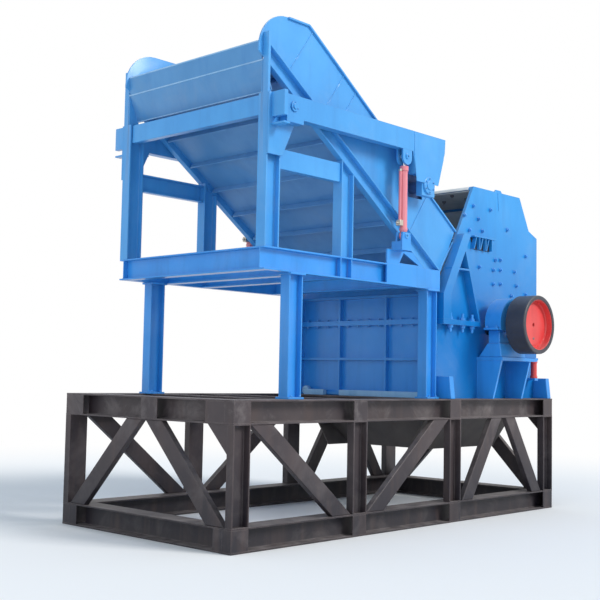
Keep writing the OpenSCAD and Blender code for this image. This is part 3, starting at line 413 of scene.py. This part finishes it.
wheelLook = {"width": 0.260, "hubRadius": 0.140, "rimWall": 0.050, "rimEdge": 0.012, "recess": 0.090,
             "discThick": 0.040, "stepRadius": 0.242, "stepHeight": 0.007, "centreHole": 0.022,
             "markRadius": 0.016, "markDrop": 0.165}
rimLow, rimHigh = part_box("wheel_rims")
wheelRadius = (rimHigh.z - rimLow.z) / 2
rims, discs, marks = bmesh.new(), bmesh.new(), bmesh.new()
w = wheelLook
wheelWidth, floorOfStep = w["width"], w["recess"] - w["stepHeight"]
for side in sides:
    outer = (shaftMiddle.x, side * rimHigh.y, shaftMiddle.z)
    bore, lip = wheelRadius - w["rimWall"], w["rimEdge"]
    addTurned(rims, [(bore + 0.004, 0.0), (wheelRadius - lip, 0.0), (wheelRadius - lip * 0.3, lip * 0.3),
                     (wheelRadius, lip), (wheelRadius, wheelWidth - lip),
                     (wheelRadius - lip * 0.3, wheelWidth - lip * 0.3), (wheelRadius - lip, wheelWidth),
                     (bore + 0.004, wheelWidth), (bore, wheelWidth - 0.004), (bore, 0.004)], outer, side)
    back, step = w["recess"] + w["discThick"] - 0.002, w["stepRadius"]
    addTurned(discs, [(bore + 0.001, 0.010), (bore - 0.007, 0.013), (bore - 0.009, w["recess"] - 0.012),
                      (bore - 0.016, w["recess"]), (step + 0.004, w["recess"]),
                      (step, floorOfStep), (w["centreHole"] + 0.004, floorOfStep),
                      (w["centreHole"], floorOfStep + 0.004), (w["centreHole"], back),
                      (bore - 0.010, back), (bore - 0.008, wheelWidth - 0.010),
                      (bore + 0.001, wheelWidth - 0.008)], outer, side)
    face = Vector((shaftMiddle.x, side * (rimHigh.y - w["recess"]), shaftMiddle.z))
    spot = face + Vector((0, side * 0.005, -w["markDrop"]))
    addBar(marks, spot, spot + Vector((0, side * 0.006, 0)), w["markRadius"], 0.002, 20)
    addBar(marks, face - Vector((0, side * 0.035, 0)), face - Vector((0, side * 0.02, 0)), 0.020, 0.002, 20)
addPiece("wheel_rims_turned", rims, wheelPaint, "rotor", ("wheel_rims",))
addPiece("wheel_discs_turned", discs, redPaint, "rotor", ("wheel_discs",))
addPiece("wheel_marks", marks, boltSteel, "rotor")
hubs = bmesh.new()
for side in sides:
    inner = side * (rimHigh.y - wheelWidth + 0.012)
    addRound(hubs, shaftMiddle.x, shaftMiddle.z, side * (rimHigh.y - w["recess"] - w["discThick"]), inner,
             w["hubRadius"], 0.006, 64)
addPiece("wheel_hubs", hubs, wheelPaint, "rotor")
print("wheels turned")

baseLook = {"flange": 0.016, "headDepth": 0.012, "postWidth": 0.220, "stiffener": 0.016, "nearCorner": 0.395,
            "farCorner": 0.31, "beamEnd": 0.25, "stiffenerFrom": 0.034, "stiffenerTo": -0.218}
b = baseLook
beamLow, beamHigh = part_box("base_long_beams")
postLow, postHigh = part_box("base_posts")
ringDepth = postLow.z - beamLow.z
postStarts = [beamLow.x, beamLow.x + 1.690, beamLow.x + 3.385, beamHigh.x - b["postWidth"]]
heads = bmesh.new()
for side in sides:
    face = side * (beamHigh.y - 0.0006)
    y = sorted((face, face - side * b["headDepth"]))
    for start in postStarts:
        for low in (beamLow.z, beamHigh.z - ringDepth):
            addBlock(heads, (start + 0.004, y[0], low + b["flange"] - 0.001),
                     (start + b["postWidth"] - 0.004, y[1], low + ringDepth - b["flange"] + 0.001), 0.002)
for x in (beamLow.x + 0.0006, beamHigh.x - 0.0006 - b["headDepth"]):
    for low in (beamLow.z, beamHigh.z - ringDepth):
        z = (low + b["flange"] - 0.001, low + ringDepth - b["flange"] + 0.001)
        spans = [(-beamHigh.y + 0.003, -beamHigh.y + b["beamEnd"]),
                 (beamHigh.y - b["beamEnd"], beamHigh.y - 0.003)]
        if low > beamLow.z:                      # the lower end beams are plain
            spans = [(-beamHigh.y + 0.003, -beamHigh.y + b["nearCorner"]),
                     (beamHigh.y - b["farCorner"], beamHigh.y - 0.003),
                     (b["stiffenerTo"], b["stiffenerFrom"])]
        for near, far in spans:
            addBlock(heads, (x, near, z[0]), (x + b["headDepth"], far, z[1]), 0.002)
addPiece("base_beam_heads", heads, basePaint, "base")

welds = bmesh.new()
for side in sides:
    face = side * (beamHigh.y - 0.006)
    for start in postStarts:
        for z in (postLow.z, postHigh.z):
            addBead(welds, (start + 0.01, face, z), (start + b["postWidth"] - 0.01, face, z), 0.014)
addPiece("base_weld_beads", welds, basePaint, "base")
print("base dressed")

legLow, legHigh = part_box("feeder_legs")
platformLook = {"flange": 0.016, "stiffener": 0.014, "stiffenerDepth": 0.052, "footHalf": 0.110,
                "boltAlong": 0.062, "boltAcross": 0.079, "footMiddle": 0.0925, "footThick": 0.020}
p = platformLook
midLow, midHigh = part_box("feeder_mid_posts")
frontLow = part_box("feeder_front_posts")[0]
plates, legBolts = bmesh.new(), bmesh.new()
places = [midLow.x + 0.004, midHigh.x - 0.018]
for side in sides:
    face = side * (feederHigh.y - 0.004)
    y = sorted((face, face - side * p["stiffenerDepth"]))
    for x in places:
        addBlock(plates, (x, y[0], feederLow.z + p["flange"] - 0.001),
                 (x + p["stiffener"], y[1], feederHigh.z - p["flange"] + 0.001), 0.002)
    for middle in (legLow.x + p["footHalf"], legHigh.x - p["footHalf"]):
        y = side * (legHigh.y - p["footMiddle"])
        for dx in sides:
            for dy in sides:
                addBolt(legBolts, (middle + dx * p["boltAlong"], y + dy * p["boltAcross"],
                                   legLow.z + p["footThick"]), (0, 0, 1), 0.024)
addPiece("platform_stiffeners", plates, framePaint, "base")
addPiece("leg_bolts", legBolts, framePaint, "base")

lipLook = {"crease": 0.195, "topHalf": 1.052, "half": 1.070}
lips = bmesh.new()
panelLow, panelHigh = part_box("trough_end_panel")
crease = Vector((frontLow.x, 0, panelHigh.z - lipLook["crease"]))
addRound(lips, panelLow.x + 0.006, panelHigh.z, -lipLook["topHalf"], lipLook["topHalf"], 0.009, 0.003, 20)
addRound(lips, crease.x + 0.004, crease.z, -lipLook["half"], lipLook["half"], 0.008, 0.003, 20)
addRound(lips, panelHigh.x - 0.014, panelLow.z + 0.004, -lipLook["half"], lipLook["half"], 0.009, 0.003, 20)
addPiece("end_panel_lips", lips, wornPaint, "base")
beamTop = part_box("feeder_front_beam")[1].z
closers = bmesh.new()
back = (panelHigh.x - 0.022 - crease.x) / (crease.z - panelLow.z)
for side in sides:
    y = side * 1.064 - 0.005
    addPlate(closers, [(crease.x + 0.001, y, crease.z - 0.006),
                       (crease.x + back * (crease.z - beamTop) + 0.01, y, beamTop + 0.002),
                       (crease.x + 0.001, y, beamTop + 0.002)], (0, 0.010, 0), 0.001)
addPiece("end_panel_closers", closers, feederPaint, "base")

seamLook = {"starts": (0.868, 1.367, 1.572, 2.890, 3.470), "lengths": (0.645, 0.645, 0.645, 0.645, 0.50),
            "width": 0.016, "slope": 35.0, "rise": 2.030, "from": 0.520, "face": 1.0755}
down = tan(radians(seamLook["slope"]))
stringerZ = feederHigh.z + seamLook["rise"]
square = Vector((sin(radians(seamLook["slope"])), 0, cos(radians(seamLook["slope"]))))
seams = bmesh.new()
for side in sides:
    for start, length in zip(seamLook["starts"], seamLook["lengths"]):
        height = stringerZ - (start - seamLook["from"]) * down + 0.004
        foot = Vector((beamLow.x + start, side * seamLook["face"], height))
        addBead(seams, foot, foot + square * length, seamLook["width"])
    addBead(seams, (frontLow.x + 0.035, side * seamLook["face"], stringerZ - 0.005),
            (frontLow.x + 0.40, side * seamLook["face"], stringerZ - 0.005 - 0.365 * down), 0.012)
addPiece("cheek_seams", seams, feederPaint, "base")
print("feeder dressed")

armLook = {"pivot": (0.765, 4.285), "roller": (3.0, 3.82), "lift": (2.60, 3.205, 4.095), "capRadius": 0.052,
           "headFrom": 2.722, "headTo": 3.172, "headThick": 0.006, "bearingRadius": 0.098, "pinRadius": 0.034,
           "innerCap": 0.028, "pivotRing": 0.041, "rollerRing": 0.078}
a = armLook
outerArm = armHigh.y                             # outer faces of the arms
armCaps, pivotCaps, armBolts, fixedBolts = bmesh.new(), bmesh.new(), bmesh.new(), bmesh.new()
pivotX, pivotZ = beamLow.x + a["pivot"][0], a["pivot"][1]
rollerX, rollerZ = beamLow.x + a["roller"][0], a["roller"][1]
liftX, liftPinZ, rodPinZ = beamLow.x + a["lift"][0], a["lift"][1], a["lift"][2]
for side in sides:
    face = side * outerArm
    addRound(pivotCaps, pivotX, pivotZ, face + side * 0.002, face + side * 0.016, a["capRadius"], 0.003, 40)
    addRound(pivotCaps, pivotX, pivotZ, face + side * 0.014, face + side * 0.026, a["innerCap"], 0.003, 32)
    for k in range(3):
        turn = radians(90 + 120 * k)
        addBolt(fixedBolts, (pivotX + a["pivotRing"] * cos(turn), face + side * 0.016,
                             pivotZ + a["pivotRing"] * sin(turn)), (0, side, 0), 0.010)
    addRound(armCaps, rollerX, rollerZ, side * (outerArm - 0.014), side * (outerArm + 0.012),
             a["bearingRadius"], 0.006, 56)
    addRound(armCaps, rollerX, rollerZ, side * (outerArm + 0.008), side * (outerArm + 0.022),
             a["bearingRadius"] * 0.55, 0.005, 40)
    for k in range(6):
        turn = radians(30 + 60 * k)
        addBolt(armBolts, (rollerX + a["rollerRing"] * cos(turn), side * (outerArm + 0.012),
                           rollerZ + a["rollerRing"] * sin(turn)), (0, side, 0), 0.018)
    addRound(armCaps, liftX, rodPinZ, face - side * 0.004, face + side * 0.010, a["pinRadius"], 0.003, 32)
    addBolt(armBolts, (liftX, face + side * 0.009, rodPinZ), (0, side, 0), 0.020)
    addRound(pivotCaps, liftX, liftPinZ, face - side * 0.006, face + side * 0.008, a["pinRadius"], 0.003, 32)
    addBolt(fixedBolts, (liftX, face + side * 0.007, liftPinZ), (0, side, 0), 0.020)
    low = min(face, face + side * a["headThick"])
    headStart, headEnd = beamLow.x + a["headFrom"], beamLow.x + a["headTo"]
    addPlate(armCaps, [(headStart, low, armLow.z + 0.40), (beamLow.x + 2.765, low, armLow.z + 0.14),
                       (headEnd, low, armLow.z + 0.14), (headEnd + 0.10, low, armHigh.z - 0.24),
                       (headEnd + 0.12, low, armHigh.z - 0.012), (headStart, low, armHigh.z - 0.012)],
             (0, a["headThick"], 0), 0.002)
addPiece("arm_caps", armCaps, feederPaint, "press_arms")
addPiece("pivot_caps", pivotCaps, feederPaint, "base")
addPiece("arm_bolts", armBolts, feederPaint, "press_arms")
addPiece("pivot_bolts", fixedBolts, feederPaint, "base")

liftLook = {"glandRadius": 0.050, "glandHeight": 0.055, "glandBore": 0.0395, "pipeRadius": 0.017,
            "pipeGap": 0.066, "pipeFrom": 3.37, "pipeTo": 3.925, "barrelTop": 3.985, "collar": (3.262, 3.290)}
l = liftLook
barrelTop, pipeFoot = l["barrelTop"], l["pipeFrom"] - 0.03
glands, pipes, fittings = bmesh.new(), bmesh.new(), bmesh.new()
for side in sides:
    y = side * (outerArm - 0.050)
    for low, high, radius in ((barrelTop - l["glandHeight"], barrelTop - 0.001, l["glandRadius"]),
                              (barrelTop - 0.070, barrelTop - l["glandHeight"], 0.045),
                              (*l["collar"], 0.046)):
        corners = [(l["glandBore"], low), (radius - 0.003, low), (radius, low + 0.003),
                   (radius, high - 0.003), (radius - 0.003, high), (l["glandBore"], high)]
        ring = [glands.verts.new((liftX + r, y, z)) for r, z in corners]
        loop = [glands.edges.new((ring[i], ring[(i + 1) % len(ring)])) for i in range(len(ring))]
        bmesh.ops.spin(glands, geom=ring + loop, cent=(liftX, y, 0), axis=(0, 0, 1), angle=2 * pi, steps=48,
                       use_merge=True, use_duplicate=False)
    pipeX = liftX - l["pipeGap"]
    addBar(pipes, (pipeX, y, l["pipeFrom"]), (pipeX, y, l["pipeTo"]), l["pipeRadius"], 0.003, 24)
    addBar(pipes, (pipeX - 0.001, y, l["pipeTo"] - 0.02), (liftX - 0.038, y, l["pipeTo"] - 0.02),
           0.012, 0.002, 20)
    addBlock(fittings, (pipeX - 0.030, y - 0.028, l["pipeFrom"] - 0.060),
             (pipeX + 0.030, y + 0.028, l["pipeFrom"] + 0.004), 0.004)
    addBar(fittings, (pipeX, y, pipeFoot), (liftX - 0.038, y, pipeFoot), 0.018, 0.003, 24)
    addBar(fittings, (pipeX - 0.055, y, pipeFoot), (pipeX - 0.02, y, pipeFoot), 0.016, 0.003, 6)
    addBar(fittings, (pipeX, y, l["pipeTo"] - 0.004), (pipeX, y, l["pipeTo"] + 0.022), 0.022, 0.003, 6)
bmesh.ops.remove_doubles(glands, verts=glands.verts, dist=0.00001)
addPiece("lift_glands", glands, barrelHighlitPaint, "base")
addPiece("lift_pipes", pipes, barrelHighlitPaint, "base")
addPiece("lift_fittings", fittings, fittingBrass, "base")
print("arms and lift cylinders dressed")

housingLook = {"flangeBolts": (0.200, 0.450, 0.650), "flangeOut": 0.055, "flange": 0.030, "boltSize": 0.056,
               "stud": 0.112, "combOut": 0.080,
               "wallBolts": ((0.734, 1.459), (1.110, 1.458), (0.542, 1.323), (0.844, 1.311), (0.651, 1.151),
                             (0.934, 1.172), (0.874, 0.717), (1.231, 0.837), (1.345, 0.847), (1.186, 0.706),
                             (1.347, 0.720), (1.189, 0.529), (1.348, 0.542), (1.676, 0.723), (1.726, 0.545),
                             (1.607, 0.408), (1.95, 0.95), (1.95, 0.45), (1.50, 1.25)),
               "comb": (0.680, 1.110, 0.925, 1.065), "lug": (1.245, 1.420), "lugHigh": 0.036}
h = housingLook
wallBolts, housingParts, combShadePlates = bmesh.new(), bmesh.new(), bmesh.new()
for side in sides:
    for along in h["flangeBolts"]:
        for x in (crusherFront + along, crusherRear - along):
            spot = (x, side * (crusherFace + h["flangeOut"]))
            addBar(wallBolts, (*spot, splitZ - h["stud"]), (*spot, splitZ + h["stud"]), 0.017, 0.003, 20)
            addBolt(wallBolts, (*spot, splitZ + h["flange"]), (0, 0, 1), h["boltSize"])
            addBolt(wallBolts, (*spot, splitZ - h["flange"]), (0, 0, -1), h["boltSize"])
    for along, rise in h["wallBolts"]:
        addBolt(wallBolts, (crusherFront + along, side * crusherFace, splitZ + rise), (0, side, 0), 0.040)
    start, end, low, high = h["comb"]
    z, top = splitZ + low, splitZ + high
    y = min(side * crusherFace, side * (crusherFace + 0.012))
    # painted shade: a near-black plate behind the lugs stands in for the shadow in the recesses between them
    addPlate(combShadePlates, [(crusherFront + start + 0.05, y, z), (crusherFront + end - 0.02, y, z),
                         (crusherFront + end, y, top), (crusherFront + start, y, top)], (0, 0.012, 0), 0.002)
    for k in range(6):
        x, tilt = crusherFront + start + 0.03 + k * 0.068, (0.030 if k % 2 else -0.020)
        foot, head = side * (crusherFace + 0.050), side * (crusherFace + 0.070)
        addPlate(housingParts, [(x + tilt, side * crusherFace, z), (x + tilt, foot, z),
                                (x, head, top), (x, side * crusherFace, top)], (0.016, 0, 0), 0.002)
    y = sorted((side * crusherFace, side * (crusherFace + h["combOut"])))
    addBlock(housingParts, (crusherFront + start - 0.02, y[0], top),
             (crusherFront + end + 0.02, y[1], top + 0.018), 0.004)
    low, high = (crusherFront + v for v in h["lug"])
    y = side * (crusherFace - 0.030) - 0.010
    addPlate(housingParts, [(low, y, roofZ - 0.004), (high, y, roofZ - 0.004),
                            (high - 0.030, y, roofZ + h["lugHigh"]), (low + 0.030, y, roofZ + h["lugHigh"])],
             (0, 0.020, 0), 0.003)
    addBead(housingParts, (low + 0.04, side * (crusherFace + 0.001), roofZ - 0.01),
            (low + 0.06, side * (crusherFace + 0.001), roofZ - 0.24), 0.010)
    addBead(housingParts, (crusherFront + 0.005, side * (crusherFace + 0.002), splitZ - 0.25),
            (crusherFront + 0.005, side * (crusherFace + 0.002), baseZ + 0.02), 0.012)
addPiece("housing_fittings", housingParts, housingPaint, "base")
addPiece("housing_bolts", wallBolts, framePaint, "base")
# the near-black plates behind the lugs are painted shade
addPiece("housing_comb_painted_shade", combShadePlates, wheelPaint, "base")

frontBolts = bmesh.new()
gridLow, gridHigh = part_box("crusher_front_ribs")
rearLow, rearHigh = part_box("crusher_rear_ribs")
for low, high in ((gridLow, gridHigh), (rearLow, rearHigh)):
    x = (low.x + high.x) / 2
    for k in range(12):
        y = low.y + 0.12 + k * (high.y - low.y - 0.24) / 11
        addBolt(frontBolts, (x, y, splitZ + 0.030), (0, 0, 1), 0.028)
        addBolt(frontBolts, (x, y, splitZ - 0.030), (0, 0, -1), 0.028)
addPiece("front_flange_bolts", frontBolts, framePaint, "base")

linerLook = {"thick": 0.012, "gap": 0.004, "wall": 0.040, "roofLength": 1.06, "backRun": 0.228,
             "frontSlope": 61.6, "boltSize": 0.040}
n = linerLook
lean = tan(radians(90 - n["frontSlope"]))
inside = crusherFace - n["wall"] - n["gap"]
hoodX = crusherFront + (roofZ - slopeZ) * lean
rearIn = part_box("crusher_rear_wall")[0].x - n["gap"]
roofIn = roofZ - n["wall"] - n["gap"]
backZ, backX = roofZ - 0.413, hoodX + n["roofLength"] + n["backRun"]
liner, linerBolts = bmesh.new(), bmesh.new()
for side in sides:
    y = side * inside - (n["thick"] if side > 0 else 0)
    addPlate(liner, [(crusherFront + 0.06 + (slopeZ + 0.10 - slopeZ) * lean, y, slopeZ + 0.10),
                     (rearIn - 0.3, y, slopeZ + 0.10), (rearIn - 0.3, y, backZ - 0.1),
                     (hoodX + 0.5, y, roofIn - 0.03), (hoodX + 0.03, y, roofIn - 0.03)],
             (0, n["thick"], 0), 0.001)
    for x, z in ((0.75, 1.45), (1.0, 1.45), (0.75, 1.15), (1.0, 1.15), (1.3, 1.2), (1.3, 0.8)):
        spot = (crusherFront + x, side * (inside - n["thick"]), splitZ + z)
        addBolt(linerBolts, spot, (0, -side, 0), n["boltSize"])
half, t = inside - 0.02, n["thick"]
roofEnd = hoodX + n["roofLength"]
addBlock(liner, (hoodX - 0.01, -half, roofIn - t), (roofEnd - 0.03, half, roofIn), 0.001)
addBlock(liner, (rearIn - t, -half, slopeZ - 0.30), (rearIn, half, backZ - 0.14), 0.001)
slope = ((roofEnd - 0.014, roofZ - 0.090), (backX - 0.060, backZ + 0.004))
addPlate(liner, [(slope[0][0], -half, slope[0][1]), (slope[1][0], -half, slope[1][1]),
                 (slope[1][0] - t, -half, slope[1][1]), (slope[0][0] - t, -half, slope[0][1])],
         (0, 2 * half, 0), 0.001)
edge = n["wall"] * lean
addPlate(liner, [(hoodX - 0.002, -half, roofZ - 0.001), (hoodX - edge - 0.002, -half, roofZ - n["wall"]),
                 (hoodX - edge - 0.010, -half, roofZ - n["wall"]), (hoodX - 0.010, -half, roofZ - 0.001)],
         (0, 2 * half, 0), 0.001)
for y in (-0.7, -0.35, 0.0, 0.35, 0.7):
    for x in (0.10, 0.42):
        addBolt(linerBolts, (hoodX + x, y, roofIn - t), (0, 0, -1), n["boltSize"])
# near-white liner plates: light steel, partly painted light for the bright hood interior
addPiece("housing_liner", liner, linerSteel, "base")
addPiece("liner_bolts", linerBolts, boltSteel, "base")

bearingLook = {"boltSize": 0.040, "flangeBolt": 0.030, "flangeThick": 0.026, "flangeWidth": 0.045,
               "inner": 0.148}
g = bearingLook
coverLow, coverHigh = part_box("bearing_covers")
blockLow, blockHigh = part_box("bearing_blocks")
shelfLow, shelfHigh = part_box("bearing_shelves")
ribs, bearingBolts = bmesh.new(), bmesh.new()
coverRadius = (coverHigh.x - coverLow.x) / 2
for side in sides:
    inner, outer = side * (crusherFace + g["inner"]), side * coverHigh.y
    for x in (shaftMiddle.x - coverRadius, shaftMiddle.x + coverRadius):
        out = 1 if x > shaftMiddle.x else -1
        ends = sorted((x - 0.002 * out, x + g["flangeWidth"] * out))
        addBlock(ribs, (ends[0], min(inner, outer) + 0.012, coverLow.z + 0.001),
                 (ends[1], max(inner, outer) - 0.012, coverLow.z + g["flangeThick"]), 0.004)
        for share in (0.2, 0.8):
            y = inner + (outer - inner) * share
            addBolt(bearingBolts, (x + 0.022 * out, y, coverLow.z + g["flangeThick"]), (0, 0, 1),
                    g["flangeBolt"])
    for x in (blockLow.x - 0.045, blockHigh.x + 0.045):
        for y in (crusherFace + 0.09, shelfHigh.y - 0.07):
            if shelfLow.x + 0.03 < x < shelfHigh.x - 0.03:
                addBolt(bearingBolts, (x, side * y, blockLow.z), (0, 0, 1), g["boltSize"])
addPiece("bearing_flanges", ribs, framePaint, "base")
addPiece("bearing_bolts", bearingBolts, framePaint, "base")

serviceLow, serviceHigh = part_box("service_cylinders")
caps = bmesh.new()
for side in sides:
    middle = Vector(((serviceLow.x + serviceHigh.x) / 2, side * (serviceHigh.y - 0.040), 0))
    for z in (serviceLow.z, serviceHigh.z - 0.035):
        addBar(caps, (*middle.xy, z + 0.001), (*middle.xy, z + 0.034), 0.047, 0.004, 36)
addPiece("service_caps", caps, redPaint, "base")

barLook = {"farFrom": 0.56, "nearTo": 0.30, "eye": 0.055}
barLow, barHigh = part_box("crusher_front_bar")
bars = bmesh.new()
addBlock(bars, (barLow.x, barLow.y, barLow.z), (barHigh.x, barLook["nearTo"], barHigh.z), 0.005)
addBlock(bars, (barLow.x, barLook["farFrom"], barLow.z), (barHigh.x, barHigh.y - 0.03, barHigh.z), 0.005)
eyeY, eyeZ = barHigh.y - barLook["eye"], barLow.z + barLook["eye"] + 0.002
addBar(bars, (barLow.x + 0.004, eyeY, eyeZ), (barHigh.x - 0.004, eyeY, eyeZ), barLook["eye"], 0.005, 36)
addPiece("front_bar", bars, wornPaint, "base", ("crusher_front_bar",))
print("crusher dressed")

stageLook = {"floorSize": 120.0, "floorColour": (0.86, 0.87, 0.88), "fadeFrom": 5.0, "fadeTo": 13.0}
bm = bmesh.new()
bmesh.ops.create_grid(bm, x_segments=1, y_segments=1, size=stageLook["floorSize"] / 2)
bmesh.ops.translate(bm, verts=bm.verts, vec=(0, 0, -0.002))
mesh = bpy.data.meshes.new("floor")
bm.to_mesh(mesh)
bm.free()
floor = bpy.data.objects.new("floor", mesh)
bpy.context.scene.collection.objects.link(floor)
s = Shader(bpy.data.materials.new("floorFinish"))
away = s.node("ShaderNodeVectorMath", {"operation": "LENGTH"}, {0: s.coords()}, "Value")
fade = s.node("ShaderNodeMapRange", {"interpolation_type": "SMOOTHSTEP"},
              {0: away, 1: stageLook["fadeFrom"], 2: stageLook["fadeTo"], 3: 0.0, 4: 1.0})
matte = s.node("ShaderNodeBsdfDiffuse", {}, {"Color": (*stageLook["floorColour"], 1)})
plain = s.node("ShaderNodeEmission", {}, {"Color": (1, 1, 1, 1), "Strength": 1.0})
blend = s.node("ShaderNodeMixShader", {}, {0: fade, 1: matte, 2: plain})
s.node("ShaderNodeOutputMaterial", {}, {"Surface": blend})
floor.data.materials.append(s.owner)

worldLook = {"colour": (0.78, 0.89, 1.0), "strength": 0.62}
world = bpy.data.worlds.new("studio")
bpy.context.scene.world = world
s = Shader(world)
seen = s.node("ShaderNodeLightPath", {}, {}, "Is Camera Ray")
seen = seen.over(s.node("ShaderNodeLightPath", {}, {}, "Is Transmission Ray"))
seen = seen.over(s.node("ShaderNodeLightPath", {}, {}, "Is Glossy Ray"))
fill = s.node("ShaderNodeBackground", {}, {"Color": (*worldLook["colour"], 1),
                                           "Strength": worldLook["strength"]})
white = s.node("ShaderNodeBackground", {}, {"Color": (1, 1, 1, 1), "Strength": 1.0})
either = s.node("ShaderNodeMixShader", {}, {0: seen, 1: fill, 2: white})
s.node("ShaderNodeOutputWorld", {}, {"Surface": either})


def addSun(name, strength, spread, direction, colour):
    lamp = bpy.data.lights.new(name, "SUN")
    lamp.energy, lamp.angle, lamp.color = strength, radians(spread), colour
    holder = bpy.data.objects.new(name, lamp)
    holder.rotation_euler = Vector(direction).to_track_quat("-Z", "Y").to_euler()
    bpy.context.scene.collection.objects.link(holder)


addSun("keySun", 2.42, 22.0, (-0.30, 0.80, -0.55), (1.0, 0.97, 0.93))
addSun("sideSun", 0.90, 60.0, (0.85, 0.25, -0.30), (0.93, 0.96, 1.0))

viewLook = {"place": (-9.438, -8.383, 1.628), "yaw": 43.417, "pitch": 4.143, "roll": 1.098, "lens": 63.15}
yaw, pitch, roll = (radians(viewLook[k]) for k in ("yaw", "pitch", "roll"))
ahead = Vector((cos(yaw) * cos(pitch), sin(yaw) * cos(pitch), sin(pitch)))
right = ahead.cross(Vector((0, 0, 1))).normalized()
above = right.cross(ahead)
tiltedRight = cos(roll) * right + sin(roll) * above
tiltedUp = cos(roll) * above - sin(roll) * right
camera = bpy.data.cameras.new("camera")
camera.lens, camera.sensor_width, camera.clip_end = viewLook["lens"], 36.0, 300.0
holder = bpy.data.objects.new("camera", camera)
turn = Matrix((tiltedRight, tiltedUp, -ahead)).transposed().to_4x4()
holder.matrix_world = Matrix.Translation(viewLook["place"]) @ turn
bpy.context.scene.collection.objects.link(holder)
bpy.context.scene.camera = holder
bpy.context.scene.view_settings.view_transform = "Standard"
print("light and camera set")
